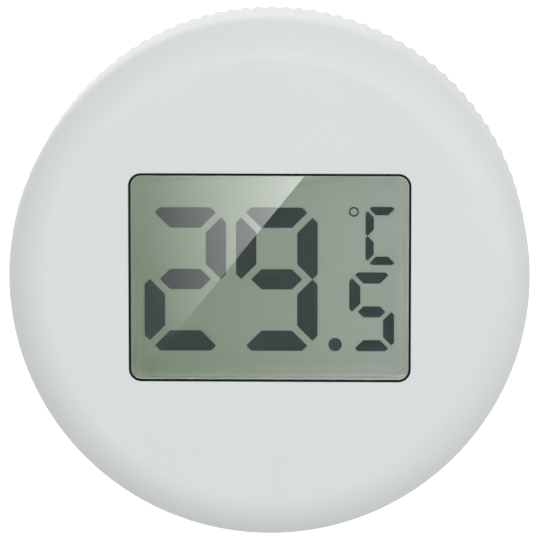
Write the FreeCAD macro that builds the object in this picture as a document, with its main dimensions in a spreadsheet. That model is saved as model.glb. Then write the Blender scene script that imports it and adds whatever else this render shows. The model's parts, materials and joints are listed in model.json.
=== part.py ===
import FreeCAD, Part

# Digital aquarium thermometer: a round display unit that a suction cup holds to the inside of the glass.
# Frame: the origin is the centre of the glass face under the cup, +Y points into the glass, the display
# faces -Y and +Z is up. A "level" is the distance of a plane from the glass, so it equals minus Y.

import math
import os

import Sketcher

# Driving sizes in millimetres, degrees or counts. Every other length is worked out from these.
SIZES = [
    # The suction cup and its knob
    ("cup_height", 7.4, "glass to the root of the cup"),
    ("lip_radius", 18.0, "outer radius of the cup's lip"),
    ("lip_land", 2.5, "width of the flat ring that touches the glass"),
    ("lip_edge", 0.8, "thickness of the lip at its edge"),
    ("cavity_depth", 3.6, "depth of the hollow under the dish"),
    ("cup_root_radius", 5.5, "radius of the cup's root"),
    ("cup_root_height", 1.6, "length of the straight root"),
    ("dish_curve", 30.0, "radius of the dish's outer curve"),
    ("neck_radius", 2.6, "radius of the knob's neck"),
    ("knob_radius", 3.6, "radius of the knob"),
    ("knob_height", 1.9, "height of the knob"),
    ("tab_width", 5.0, "width of the pull tab"),
    ("tab_reach", 4.0, "how far the pull tab stands out of the lip"),
    ("tab_thickness", 1.0, "thickness of the pull tab"),
    ("swivel_gap", 0.2, "clearance all round the knob and its neck"),
    # The back plate with its plug
    ("neck_land", 1.2, "wall behind the knob that the neck passes"),
    ("knob_wall", 1.3, "wall in front of the knob's chamber"),
    ("hub_wall", 2.6, "wall of the hub round the knob's chamber"),
    ("rim_thickness", 2.5, "thickness of the back plate"),
    ("rim_overlap", 2.0, "how far the plate's rim lies under the ring's lip"),
    ("collar_wall", 1.6, "wall of the collar that centres the ring"),
    ("plate_rib_count", 6, "number of stiffening ribs behind the plate"),
    ("plate_rib_width", 1.0, "thickness of a stiffening rib"),
    ("plate_rib_height", 1.1, "height of a stiffening rib"),
    ("plate_rounding", 0.3, "rounding of the edges behind the plate"),
    ("collar_recess", 0.2, "how far the collar stays inside the ring's back"),
    ("plate_gap", 0.6, "clearance of the plate's rim inside the ring's lugs"),
    ("plug_wall", 1.0, "wall under the seal's groove"),
    ("plug_gap", 0.2, "radial clearance of the plug in the sleeve"),
    ("plug_nose", 1.6, "length of the plug in front of the seal's groove"),
    ("seal_section", 0.85, "radius of the sealing ring's section"),
    ("seal_gap", 0.05, "clearance of the sealing ring to groove and sleeve"),
    ("seal_play", 0.15, "room beside the sealing ring in its groove"),
    # The sensor in the back plate
    ("sensor_radius", 2.5, "outer radius of the sensor's cap"),
    ("sensor_reach", 1.0, "how far the cap stands out of the plate"),
    ("sensor_flange", 0.9, "width of the cap's flange"),
    ("sensor_wall", 0.3, "wall of the cap"),
    ("sensor_board_thickness", 0.8, "thickness of the sensor's board"),
    ("bead_radius", 1.0, "radius of the thermistor's bead"),
    ("lead_radius", 0.2, "radius of the thermistor's leads"),
    ("lead_spacing", 1.0, "distance between the thermistor's leads"),
    # The battery and what holds it
    ("cell_room", 1.0, "room between the hub and the battery's clip"),
    ("clip_thickness", 0.4, "sheet thickness of the plus clip"),
    ("clip_width", 3.0, "width of the plus clip"),
    ("clip_gap", 0.1, "gap between the plus clip and the cell"),
    ("cell_radius", 10.0, "radius of the coin cell"),
    ("cell_thickness", 3.2, "thickness of the coin cell"),
    ("cell_cap_inset", 1.2, "how far the cell's minus cap is smaller than its can"),
    ("cell_cap_height", 0.3, "height of the cell's minus cap"),
    ("tray_floor", 0.7, "floor of the battery tray"),
    ("tray_wall", 1.2, "wall of the battery tray"),
    ("tray_gap", 0.2, "radial clearance of the cell in its tray"),
    ("tray_height", 3.4, "height of the battery tray"),
    ("tray_notch", 9.0, "width of the opening for a fingertip in the tray"),
    ("spring_window", 5.0, "radius of the hole in the tray for the minus spring"),
    ("spring_width", 3.0, "width of the minus spring"),
    ("spring_thickness", 0.2, "sheet thickness of the minus spring"),
    # The circuit board and the parts on it
    ("board_thickness", 1.2, "thickness of the circuit board"),
    ("board_margin", 0.6, "board beyond the screw heads"),
    ("board_gap", 0.2, "clearance round the board"),
    ("screw_radius", 0.8, "radius of a board screw's shank"),
    ("screw_gap", 0.05, "clearance of a screw in its boss"),
    ("screw_head_radius", 1.6, "radius of a board screw's head"),
    ("screw_head_height", 1.0, "height of a board screw's head"),
    ("screw_length", 4.7, "length of a board screw under its head"),
    ("boss_radius", 1.7, "radius of a screw boss"),
    ("boss_gap", 0.23, "gap between the display frame and a boss"),
    ("chip_radius", 3.4, "radius of the resin drop over the chip"),
    ("chip_height", 1.3, "height of the resin drop"),
    ("switch_width", 4.6, "width of the unit switch"),
    ("switch_height", 2.0, "height of the unit switch"),
    ("button_radius", 1.0, "radius of the unit button"),
    ("button_gap", 0.1, "clearance round the unit button"),
    ("button_reach", 0.6, "how far the unit button stands out"),
    ("button_depth", 1.0, "how deep the unit button sits in its switch"),
    ("button_room", 0.3, "room in front of the unit button for its travel"),
    ("crystal_radius", 1.0, "radius of the timing crystal"),
    ("crystal_length", 6.0, "length of the timing crystal"),
    ("chip_part_length", 2.0, "length of a surface mount part"),
    ("chip_part_width", 1.25, "width of a surface mount part"),
    ("chip_part_height", 0.6, "height of a surface mount part"),
    ("pin_radius", 0.9, "radius of a contact pin's barrel"),
    ("pin_barrel", 2.8, "length of a contact pin's barrel"),
    ("pin_tip_radius", 0.45, "radius of a contact pin's tip"),
    ("pin_spacing", 2.6, "distance between the contact pins"),
    ("pin_gap", 0.1, "gap between a pin and the sensor's board"),
    # The liquid crystal display, from the board to the lens
    ("frame_floor", 2.55, "floor of the display frame"),
    ("frame_wall", 1.3, "wall of the display frame"),
    ("frame_corner", 5.2, "outer corner radius of the display frame"),
    ("frame_gap", 0.2, "clearance of the glass in the display frame"),
    ("stack_gap", 0.1, "gap in front of and behind the display"),
    ("reflector_thickness", 0.25, "thickness of the reflector"),
    ("glass_thickness", 0.55, "thickness of each display glass"),
    ("glass_side", 2.1, "display glass beyond the lens at each side"),
    ("glass_end", 3.0, "front display glass beyond the lens at top and bottom"),
    ("glass_ledge", 1.9, "contact ledge that the rear glass leaves free"),
    ("cell_gap", 0.1, "space for the segments between the glasses"),
    ("edge_seal", 0.5, "width of the seal round the display's edge"),
    ("polariser_thickness", 0.2, "thickness of the front polariser"),
    ("polariser_margin", 1.0, "polariser beyond the window on each side"),
    ("strip_width", 1.8, "width of a contact strip"),
    ("strip_inset", 1.0, "how far a contact strip ends inside the glass"),
    # The lens and its gasket
    ("window_width", 31.8, "width of the lens in the window"),
    ("window_height", 23.55, "height of the lens in the window"),
    ("window_corner", 1.2, "corner radius of the lens in the window"),
    ("window_shift", 0.17, "window centre to the right of the face's centre"),
    ("window_lift", 0.54, "window centre above the face's centre"),
    ("gasket_line", 0.25, "width of the dark gasket round the lens"),
    ("gasket_recess", 0.08, "gasket below the face"),
    ("gasket_thickness", 0.4, "thickness of the gasket on the lens flange"),
    ("lens_recess", 0.1, "lens below the face"),
    ("lens_flange", 2.05, "width of the lens flange"),
    ("lens_flange_thickness", 0.6, "thickness of the lens flange"),
    # The front shell with its sleeve
    ("face_wall", 1.6, "thickness of the face"),
    ("face_rounding", 4.8, "radius of the rounded edge of the face"),
    ("shell_wall", 2.0, "wall of the shell behind the rounded edge"),
    ("shell_depth", 5.4, "depth of the shell from face to seam"),
    ("shell_groove", 1.8, "depth of the groove between shell and sleeve"),
    ("sleeve_wall", 1.6, "wall of the threaded sleeve"),
    ("sleeve_gap", 0.1, "gap between the sleeve's end and the back plate"),
    ("key_height", 0.8, "height of the key inside the sleeve"),
    ("key_width", 2.0, "width of the key"),
    ("key_gap", 0.2, "clearance of the key in its notch"),
    ("key_depth", 1.0, "how deep the key reaches into its notch"),
    # The locking ring and the lug thread
    ("seam_gap", 0.2, "gap between the shell and the locking ring"),
    ("ring_wall", 2.2, "wall of the locking ring"),
    ("ring_lip", 1.9, "thickness of the ring's rear lip"),
    ("ring_gap", 0.1, "running clearance of the ring on the back plate"),
    ("turning_gap", 0.2, "radial clearance of the lugs"),
    ("snap_height", 0.25, "height of the snap bead that keeps the ring on the plate"),
    ("snap_width", 0.3, "half the width of the snap bead"),
    ("snap_gap", 0.15, "clearance round the snap bead"),
    ("lug_count", 3, "number of thread lugs on each piece"),
    ("lug_angle", 36.0, "angle that a thread lug covers"),
    ("lug_height", 1.2, "height of a thread lug"),
    ("lug_thickness", 1.8, "thickness of a thread lug"),
    ("lug_gap", 0.08, "clearance between the flanks of two lugs"),
    ("lug_margin", 0.34, "sleeve behind its lugs"),
    ("lug_root", 0.5, "how deep a lug is rooted in its wall"),
    ("thread_lead", 9.6, "travel of the lug thread in one turn"),
    ("rib_count", 118, "number of grip grooves round the ring"),
    ("rib_groove", 0.9, "radius of a grip groove"),
    ("rib_depth", 0.24, "depth of a grip groove at the ring's back"),
    ("rib_start", 0.04, "depth of a grip groove at its front end"),
    ("rib_length", 4.4, "length over which a grip groove runs out"),
    ("ring_back_rounding", 0.3, "rounding of the ring's rear edge"),
    ("ring_front_rounding", 0.25, "rounding of the ring's front edge"),
    # The digits of the display
    ("digit_width", 9.35, "width of a large digit"),
    ("digit_height", 16.6, "height of a large digit"),
    ("digit_stroke", 2.33, "stroke of a large digit"),
    ("digit_split", 0.587, "cut at a large digit's corners, from the corner to each segment"),
    ("digit_pitch", 10.5, "distance between the large digits"),
    ("digit_margin", 1.48, "window edge to the first digit"),
    ("digit_base", 2.93, "window edge to the foot of the digits"),
    ("tenth_width", 5.15, "width of the small digit"),
    ("tenth_height", 9.13, "height of the small digit"),
    ("tenth_stroke", 1.27, "stroke of the small digit"),
    ("tenth_split", 0.36, "cut at the small digit's corners"),
    ("tenth_margin", 1.67, "small digit to the window's right edge"),
    ("unit_width", 3.8, "width of the digit that the unit letter is a part of"),
    ("unit_height", 6.7, "height of the unit letter"),
    ("unit_lift", 0.12, "top of the unit letter above the large digits"),
    ("unit_stroke", 0.95, "stroke of the unit letter"),
    ("unit_split", 0.25, "cut at the unit letter's corners"),
    ("segment_gap", 0.03, "gap between two upright segments at mid height"),
    ("point_radius", 0.77, "radius of the decimal point"),
    ("point_lift", 0.75, "decimal point's centre above the foot of the digits"),
    ("point_offset", 1.62, "decimal point to the small digit"),
    ("degree_radius", 0.57, "outer radius of the degree ring"),
    ("degree_stroke", 0.17, "stroke of the degree ring"),
    ("degree_offset", 1.33, "degree ring's centre to the unit letter"),
]


class Size:
    """A length or place: the expression that ties it to the sheet, and its present value."""

    def __init__(self, text, value):
        self.text = text
        self.value = value

    def __add__(self, other):
        other = as_size(other)
        return Size(f"({self.text} + {other.text})", self.value + other.value)

    def __sub__(self, other):
        other = as_size(other)
        return Size(f"({self.text} - {other.text})", self.value - other.value)

    def __mul__(self, other):
        other = as_size(other)
        return Size(f"({self.text} * {other.text})", self.value * other.value)

    def __truediv__(self, other):
        other = as_size(other)
        return Size(f"({self.text} / {other.text})", self.value / other.value)

    def __neg__(self):
        return Size(f"(0 - {self.text})", -self.value)


def as_size(number):
    if isinstance(number, Size):
        return number
    return Size(f"({number})", float(number))


def diagonal(a, b):
    return Size(f"sqrt({a.text} ^ 2 + {b.text} ^ 2)", math.hypot(a.value, b.value))


def largest(a, b):
    return Size(f"max({a.text}; {b.text})", max(a.value, b.value))


document = FreeCAD.newDocument("aquarium_thermometer")
sheet = document.addObject("Spreadsheet::Sheet", "sizes")
for row, (alias, number, meaning) in enumerate(SIZES, start=1):
    sheet.set(f"A{row}", meaning)
    sheet.set(f"B{row}", str(number))
    sheet.setAlias(f"B{row}", alias)
document.recompute()


def size(alias):
    return Size(f"sizes.{alias}", float(sheet.get(alias)))


# Levels from the glass outwards
NOTHING = as_size(0)
cup_root = size("cup_height")
hub_back = cup_root + size("swivel_gap")
chamber_back = hub_back + size("neck_land")
knob_back = chamber_back + size("swivel_gap")
knob_front = knob_back + size("knob_height")
chamber_front = knob_front + size("swivel_gap")
hub_front = chamber_front + size("knob_wall")
clip_back = hub_front + size("cell_room")
clip_front = clip_back + size("clip_thickness")
cell_back = clip_front + size("clip_gap")
cell_front = cell_back + size("cell_thickness")
board_back = cell_front + size("tray_floor")
board_front = board_back + size("board_thickness")
frame_seat = board_front + size("frame_floor")
reflector_back = frame_seat + size("stack_gap")
rear_glass_back = reflector_back + size("reflector_thickness")
segments_back = rear_glass_back + size("glass_thickness")
segments_front = segments_back + size("cell_gap")
polariser_back = segments_front + size("glass_thickness")
polariser_front = polariser_back + size("polariser_thickness")
lens_back = polariser_front + size("stack_gap")
lens_shoulder = lens_back + size("lens_flange_thickness")
face_inside = lens_shoulder + size("gasket_thickness")
face = face_inside + size("face_wall")
seam = face - size("shell_depth")

ring_back = hub_back - size("collar_recess")
lip_front = ring_back + size("ring_lip")
plate_back = lip_front + size("ring_gap")
plate_front = plate_back + size("rim_thickness")
sleeve_end = plate_front + size("sleeve_gap")
ring_front = seam - size("seam_gap")
groove_back = sleeve_end
groove_front = groove_back + (size("seal_section") + size("seal_play")) * 2
plug_front = groove_front + size("plug_nose")
key_end = plug_front - size("key_depth")

# The place of the window, its lens and the display behind it
window_centre = {"across": size("window_shift"), "up": size("window_lift")}

# Radii from the display outwards
glass_width = size("window_width") + size("glass_side") * 2
glass_height = size("window_height") + size("glass_end") * 2
frame_half_width = glass_width / 2 + size("frame_gap") + size("frame_wall")
frame_half_height = glass_height / 2 + size("frame_gap") + size("frame_wall")
frame_reach = size("frame_corner") + diagonal(
    frame_half_width + size("window_shift") - size("frame_corner"),
    frame_half_height + size("window_lift") - size("frame_corner"),
)
boss_circle = frame_half_width + size("window_shift") + size("boss_gap") + size("boss_radius")
board_radius = largest(boss_circle + size("screw_head_radius") + size("board_margin"), frame_reach)
sleeve_bore = board_radius + size("board_gap") + size("key_height")
sleeve_radius = sleeve_bore + size("sleeve_wall")
sleeve_lug_tip = sleeve_radius + size("lug_height")
ring_bore = sleeve_lug_tip + size("turning_gap")
ring_lug_tip = sleeve_radius + size("turning_gap")
body_radius = ring_bore + size("ring_wall")
rim_radius = ring_lug_tip - size("plate_gap")
collar_radius = rim_radius - size("rim_overlap")
lip_bore = collar_radius + size("ring_gap")
seal_radius = sleeve_bore - size("seal_gap") - size("seal_section")
groove_floor = seal_radius - size("seal_section") - size("seal_gap")
plug_radius = sleeve_bore - size("plug_gap")
plug_bore = groove_floor - size("plug_wall")
chamber_radius = size("knob_radius") + size("swivel_gap")
neck_bore = size("neck_radius") + size("swivel_gap")
hub_radius = chamber_radius + size("hub_wall")
tray_bore = size("cell_radius") + size("tray_gap")
tray_radius = tray_bore + size("tray_wall")
parts_circle = (tray_radius + plug_bore) / 2


def new_body(name):
    body = document.addObject("PartDesign::Body", name)
    body.Label = name
    return body


def new_sketch(body, name, role="XZ_Plane", level=None):
    """A sketch on one of the body's own planes. XZ sketches look from the display towards the glass."""
    sketch = body.newObject("Sketcher::SketchObject", name)
    plane = [feature for feature in body.Origin.OriginFeatures if feature.Role == role][0]
    sketch.AttachmentSupport = [(plane, "")]
    sketch.MapMode = "FlatFace"
    if level is not None:
        sketch.setExpression("AttachmentOffset.Base.z", level.text)
    return sketch


def fix_point(sketch, item, point, across, up):
    """Ties one point of a sketch item to its two coordinates."""
    for kind, place, axis in (("DistanceX", across, -2), ("DistanceY", up, -1)):
        if place is NOTHING:
            sketch.addConstraint(Sketcher.Constraint("PointOnObject", item, point, axis))
            continue
        index = sketch.addConstraint(Sketcher.Constraint(kind, item, point, place.value))
        sketch.setExpression(f"Constraints[{index}]", place.text)


def arc_between(first, last, radius):
    """An arc from one corner to the next: a positive radius keeps its centre on the left of the way."""
    x0, y0 = first[0].value, first[1].value
    x1, y1 = last[0].value, last[1].value
    chord = math.hypot(x1 - x0, y1 - y0)
    height = math.sqrt(radius.value ** 2 - (chord / 2) ** 2)
    side = 1 if radius.value > 0 else -1
    centre_x = (x0 + x1) / 2 - side * height * (y1 - y0) / chord
    centre_y = (y0 + y1) / 2 + side * height * (x1 - x0) / chord
    start = math.atan2(y0 - centre_y, x0 - centre_x)
    end = math.atan2(y1 - centre_y, x1 - centre_x)
    if side < 0:
        start, end = end, start
    circle = Part.Circle(FreeCAD.Vector(centre_x, centre_y, 0), FreeCAD.Vector(0, 0, 1), abs(radius.value))
    return Part.ArcOfCircle(circle, start, end), side


def draw_outline(sketch, corners, arcs=None):
    """A closed outline through corners given as (across, up). arcs maps an edge's number to its radius."""
    arcs = arcs or {}
    ends = []
    for number, first in enumerate(corners):
        last = corners[(number + 1) % len(corners)]
        if number in arcs:
            curve, side = arc_between(first, last, arcs[number])
            item = sketch.addGeometry(curve)
            ends.append((item, 1, 2) if side > 0 else (item, 2, 1))
        else:
            start = FreeCAD.Vector(first[0].value, first[1].value, 0)
            end = FreeCAD.Vector(last[0].value, last[1].value, 0)
            item = sketch.addGeometry(Part.LineSegment(start, end))
            ends.append((item, 1, 2))
    for number, (item, start, end) in enumerate(ends):
        follower, next_start, next_end = ends[(number + 1) % len(ends)]
        sketch.addConstraint(Sketcher.Constraint("Coincident", item, end, follower, next_start))
    for (item, start, end), (across, up) in zip(ends, corners):
        fix_point(sketch, item, start, across, up)
    for number, radius in arcs.items():
        index = sketch.addConstraint(Sketcher.Constraint("Radius", ends[number][0], abs(radius.value)))
        text = radius.text if radius.value > 0 else (-radius).text
        sketch.setExpression(f"Constraints[{index}]", text)


def draw_profile(sketch, corners, arcs=None):
    """A closed outline to turn about the axis, through corners given as (radius, level)."""
    flipped = [(across, level if level is NOTHING else -level) for across, level in corners]
    draw_outline(sketch, flipped, arcs)


def draw_circle(sketch, across, up, radius):
    centre = FreeCAD.Vector(across.value, up.value, 0)
    item = sketch.addGeometry(Part.Circle(centre, FreeCAD.Vector(0, 0, 1), radius.value))
    fix_point(sketch, item, 3, across, up)
    index = sketch.addConstraint(Sketcher.Constraint("Radius", item, radius.value))
    sketch.setExpression(f"Constraints[{index}]", radius.text)


def draw_rectangle(sketch, width, height, across=NOTHING, up=NOTHING):
    left = -(width / 2) if across is NOTHING else across - width / 2
    low = -(height / 2) if up is NOTHING else up - height / 2
    corners = [(left, low), (left + width, low), (left + width, low + height), (left, low + height)]
    draw_outline(sketch, corners)


def draw_rounded_rectangle(sketch, width, height, corner, across, up):
    """A rectangle with round corners round the centre given by across and up."""
    right = across + width / 2
    top = up + height / 2
    left = across - width / 2
    low = up - height / 2
    corners = [
        (left + corner, low),
        (right - corner, low),
        (right, low + corner),
        (right, top - corner),
        (right - corner, top),
        (left + corner, top),
        (left, top - corner),
        (left, low + corner),
    ]
    draw_outline(sketch, corners, {1: corner, 3: corner, 5: corner, 7: corner})


def turn(body, sketch, name):
    """Turns a profile a full round about the vertical axis of its sketch."""
    feature = body.newObject("PartDesign::Revolution", name)
    feature.Profile = sketch
    feature.ReferenceAxis = (sketch, ["V_Axis"])
    feature.Angle = 360
    document.recompute()
    return feature


def pad(body, sketch, name, length, both_ways=False):
    """Raises a sketch away from the glass, or by half its length to each side."""
    feature = body.newObject("PartDesign::Pad", name)
    feature.Profile = sketch
    feature.Midplane = both_ways
    feature.setExpression("Length", length.text)
    document.recompute()
    return feature


def pocket(body, sketch, name, length, outwards=False):
    """Cuts a sketch towards the glass, or away from it, and makes sure that it cuts."""
    before = body.Shape.Volume
    feature = body.newObject("PartDesign::Pocket", name)
    feature.Profile = sketch
    feature.Reversed = outwards
    feature.setExpression("Length", length.text)
    document.recompute()
    if not feature.Shape.Volume < before:
        raise RuntimeError(f"{name} cuts nothing")
    return feature


def repeat(body, features, sketch, axis, count, name):
    """Repeats features round an axis of a sketch, and makes the pattern the body's last step."""
    pattern = body.newObject("PartDesign::PolarPattern", name)
    pattern.Originals = features
    pattern.Axis = (sketch, [axis])
    pattern.Angle = 360
    pattern.setExpression("Occurrences", count.text)
    body.Tip = pattern
    document.recompute()
    return pattern


def circles_at(shape, radius, level):
    """Names of the circular edges with this radius whose centre lies on the axis at this level."""
    found = []
    for number, edge in enumerate(shape.Edges, start=1):
        if edge.Degenerated or edge.Curve.TypeId != "Part::GeomCircle":
            continue
        centre = edge.Curve.Center
        near = math.hypot(centre.x, centre.z) < 0.01 and abs(centre.y + level.value) < 0.01
        if near and abs(edge.Curve.Radius - radius.value) < 0.01:
            found.append(f"Edge{number}")
    return found


def round_edges(body, base, name, rounding, *places):
    """Rounds the circular edges at the places given as (radius, level)."""
    edges = []
    for radius, level in places:
        edges += circles_at(base.Shape, radius, level)
    if len(edges) < len(places):
        raise RuntimeError(f"{name} finds {len(edges)} of {len(places)} edges")
    feature = body.newObject("PartDesign::Fillet", name)
    feature.Base = (base, edges)
    feature.setExpression("Radius", rounding.text)
    document.recompute()
    return feature


def move(thing, across, up):
    """Moves a piece across the face."""
    thing.setExpression("Placement.Base.x", across.text)
    thing.setExpression("Placement.Base.z", up.text)


def around(angle, circle=parts_circle):
    """The place on a circle round the axis at an angle counted from +X towards +Z."""
    return circle * round(math.cos(math.radians(angle)), 4), circle * round(math.sin(math.radians(angle)), 4)


def lugs(body, inner, outer, back, name):
    """Thread lugs between two radii, each starting at +X with its rear flank at a level."""
    sketch = new_sketch(body, f"{name}_section", "XY_Plane")
    front = back + size("lug_thickness")
    draw_profile(sketch, [(inner, back), (outer, back), (outer, front), (inner, front)])
    helix = body.newObject("PartDesign::AdditiveHelix", name)
    helix.Profile = sketch
    helix.ReferenceAxis = (sketch, ["V_Axis"])
    helix.Mode = "pitch-turns-angle"
    helix.setExpression("Pitch", size("thread_lead").text)
    helix.setExpression("Turns", (size("lug_angle") / 360).text)
    document.recompute()
    return repeat(body, [helix], sketch, "V_Axis", size("lug_count"), f"{name}_round")


# The lugs rise towards the glass by this much over their length
lug_rise = size("thread_lead") * size("lug_angle") / 360
sleeve_lug_back = sleeve_end + size("lug_margin") + lug_rise
ring_lug_back = sleeve_lug_back + size("lug_thickness") + size("lug_gap")


def make_suction_cup():
    body = new_body("suction_cup")
    sketch = new_sketch(body, "cup_profile", "XY_Plane")
    lip_inside = size("lip_radius") - size("lip_land")
    dome = (lip_inside * lip_inside + size("cavity_depth") * size("cavity_depth")) / (
        size("cavity_depth") * 2
    )
    draw_profile(
        sketch,
        [
            (NOTHING, knob_front),
            (size("knob_radius"), knob_front),
            (size("knob_radius"), knob_back),
            (size("neck_radius"), knob_back),
            (size("neck_radius"), cup_root),
            (size("cup_root_radius"), cup_root),
            (size("cup_root_radius"), cup_root - size("cup_root_height")),
            (size("lip_radius"), size("lip_edge")),
            (size("lip_radius"), NOTHING),
            (lip_inside, NOTHING),
            (NOTHING, size("cavity_depth")),
        ],
        {6: size("dish_curve"), 9: -dome},
    )
    cup = turn(body, sketch, "cup")
    tab_sketch = new_sketch(body, "tab_outline", level=size("tab_thickness") * 0.2)
    tab_root = lip_inside + size("lip_land") / 2
    tab_end = size("lip_radius") + size("tab_reach")
    draw_rounded_rectangle(
        tab_sketch, size("tab_width"), tab_end - tab_root, size("tab_width") * 0.48,
        NOTHING, -((tab_end + tab_root) / 2),
    )
    tab = pad(body, tab_sketch, "tab", size("tab_thickness"))
    knob_edges = ((size("knob_radius"), knob_front), (size("knob_radius"), knob_back))
    round_edges(body, tab, "knob_rounding", size("knob_height") * 0.3, *knob_edges)


def make_back_plate():
    body = new_body("back_plate")
    sketch = new_sketch(body, "plate_profile", "XY_Plane")
    snap = (ring_back + lip_front) / 2
    collar_bore = collar_radius - size("collar_wall")
    draw_profile(
        sketch,
        [
            (NOTHING, hub_front),
            (chamber_radius + size("knob_wall"), hub_front),
            (chamber_radius + size("knob_wall"), plate_front),
            (plug_bore, plate_front),
            (plug_bore, plug_front),
            (plug_radius, plug_front),
            (plug_radius, groove_front),
            (groove_floor, groove_front),
            (groove_floor, groove_back),
            (plug_radius, groove_back),
            (plug_radius, plate_front),
            (rim_radius, plate_front),
            (rim_radius, plate_back),
            (collar_radius, plate_back),
            (collar_radius, snap + size("snap_width")),
            (collar_radius + size("snap_height"), snap),
            (collar_radius, snap - size("snap_width")),
            (collar_radius, hub_back),
            (collar_bore, hub_back),
            (collar_bore, plate_back),
            (hub_radius, plate_back),
            (hub_radius, hub_back),
            (neck_bore, hub_back),
            (neck_bore, chamber_back),
            (chamber_radius, chamber_back),
            (chamber_radius, chamber_front),
            (NOTHING, chamber_front),
        ],
    )
    plate = turn(body, sketch, "plate")
    edges_behind = ((hub_radius, hub_back), (collar_bore, hub_back), (neck_bore, hub_back))
    round_edges(body, plate, "plate_edges", size("plate_rounding"), *edges_behind)
    rib_sketch = new_sketch(body, "plate_rib_outline", level=plate_back - size("plate_rib_height"))
    rib_inside = hub_radius - size("hub_wall") / 2
    rib_outside = collar_bore + size("collar_wall") / 2
    draw_rectangle(
        rib_sketch, rib_outside - rib_inside, size("plate_rib_width"),
        across=(rib_inside + rib_outside) / 2,
    )
    rib = pad(body, rib_sketch, "plate_rib", size("plate_rib_height") + size("plate_rounding"))
    repeat(body, [rib], rib_sketch, "N_Axis", size("plate_rib_count"), "plate_ribs")
    notch = new_sketch(body, "key_notch_outline", level=plug_front)
    notch_floor = sleeve_bore - size("key_height") - size("key_gap")
    draw_rectangle(
        notch, size("key_width") + size("key_gap") * 2, sleeve_bore - notch_floor,
        up=(sleeve_bore + notch_floor) / 2,
    )
    pocket(body, notch, "key_notch", size("key_depth") + size("key_gap"))
    hole = new_sketch(body, "sensor_hole_outline", level=plate_front)
    draw_circle(hole, NOTHING, -parts_circle, size("sensor_radius") + size("screw_gap"))
    pocket(body, hole, "sensor_hole", size("rim_thickness"))


def make_sealing_ring():
    body = new_body("sealing_ring")
    sketch = new_sketch(body, "seal_section_outline", "XY_Plane")
    draw_circle(sketch, seal_radius, -((groove_back + groove_front) / 2), size("seal_section"))
    turn(body, sketch, "seal")


def make_sensor():
    """The steel cap, the bead with its leads and the small board that closes the cap."""
    flange_radius = size("sensor_radius") + size("sensor_flange")
    cap_bore = size("sensor_radius") - size("sensor_wall")
    cap_end = plate_back - size("sensor_reach")
    flange_front = plate_front + size("sensor_wall")
    bead_level = cap_end + size("sensor_wall") + size("bead_radius") * 1.2

    cap = new_body("sensor_cap")
    sketch = new_sketch(cap, "cap_profile", "XY_Plane")
    draw_profile(
        sketch,
        [
            (NOTHING, cap_end),
            (size("sensor_radius"), cap_end),
            (size("sensor_radius"), plate_front),
            (flange_radius, plate_front),
            (flange_radius, flange_front),
            (cap_bore, flange_front),
            (cap_bore, cap_end + size("sensor_wall")),
            (NOTHING, cap_end + size("sensor_wall")),
        ],
    )
    cup = turn(cap, sketch, "cap")
    round_edges(cap, cup, "cap_rounding", size("sensor_wall") * 2, (size("sensor_radius"), cap_end))
    cap.setExpression("Placement.Base.z", (-parts_circle).text)

    bead = new_body("thermistor")
    sketch = new_sketch(bead, "bead_profile", "XY_Plane")
    bead_radius = size("bead_radius")
    shoulder = bead_radius * 0.25
    draw_profile(
        sketch,
        [
            (NOTHING, bead_level + bead_radius),
            (bead_radius - shoulder, bead_level + bead_radius),
            (bead_radius, bead_level + bead_radius - shoulder),
            (bead_radius, bead_level - bead_radius + shoulder),
            (bead_radius - shoulder, bead_level - bead_radius),
            (NOTHING, bead_level - bead_radius),
        ],
    )
    turn(bead, sketch, "bead")
    leads = new_sketch(bead, "lead_outlines", level=bead_level)
    for side in (-1, 1):
        draw_circle(leads, size("lead_spacing") * (side / 2), NOTHING, size("lead_radius"))
    pad(bead, leads, "leads", flange_front - bead_level)
    bead.setExpression("Placement.Base.z", (-parts_circle).text)

    board = new_body("sensor_board")
    sketch = new_sketch(board, "sensor_board_outline", level=flange_front)
    draw_circle(sketch, NOTHING, NOTHING, flange_radius)
    pad(board, sketch, "disc", size("sensor_board_thickness"))
    board.setExpression("Placement.Base.z", (-parts_circle).text)


def make_contact_pins():
    body = new_body("contact_pins")
    pads_level = plate_front + size("sensor_wall") + size("sensor_board_thickness")
    tip = pads_level + size("pin_gap")
    barrels = new_sketch(body, "barrel_outlines", level=board_back - size("pin_barrel"))
    tips = new_sketch(body, "tip_outlines", level=tip)
    for side in (-1, 1):
        across = size("pin_spacing") * (side / 2)
        draw_circle(barrels, across, NOTHING, size("pin_radius"))
        draw_circle(tips, across, NOTHING, size("pin_tip_radius"))
    pad(body, barrels, "barrels", size("pin_barrel"))
    pad(body, tips, "tips", board_back - size("pin_barrel") - tip)
    body.setExpression("Placement.Base.z", (-parts_circle).text)


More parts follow.
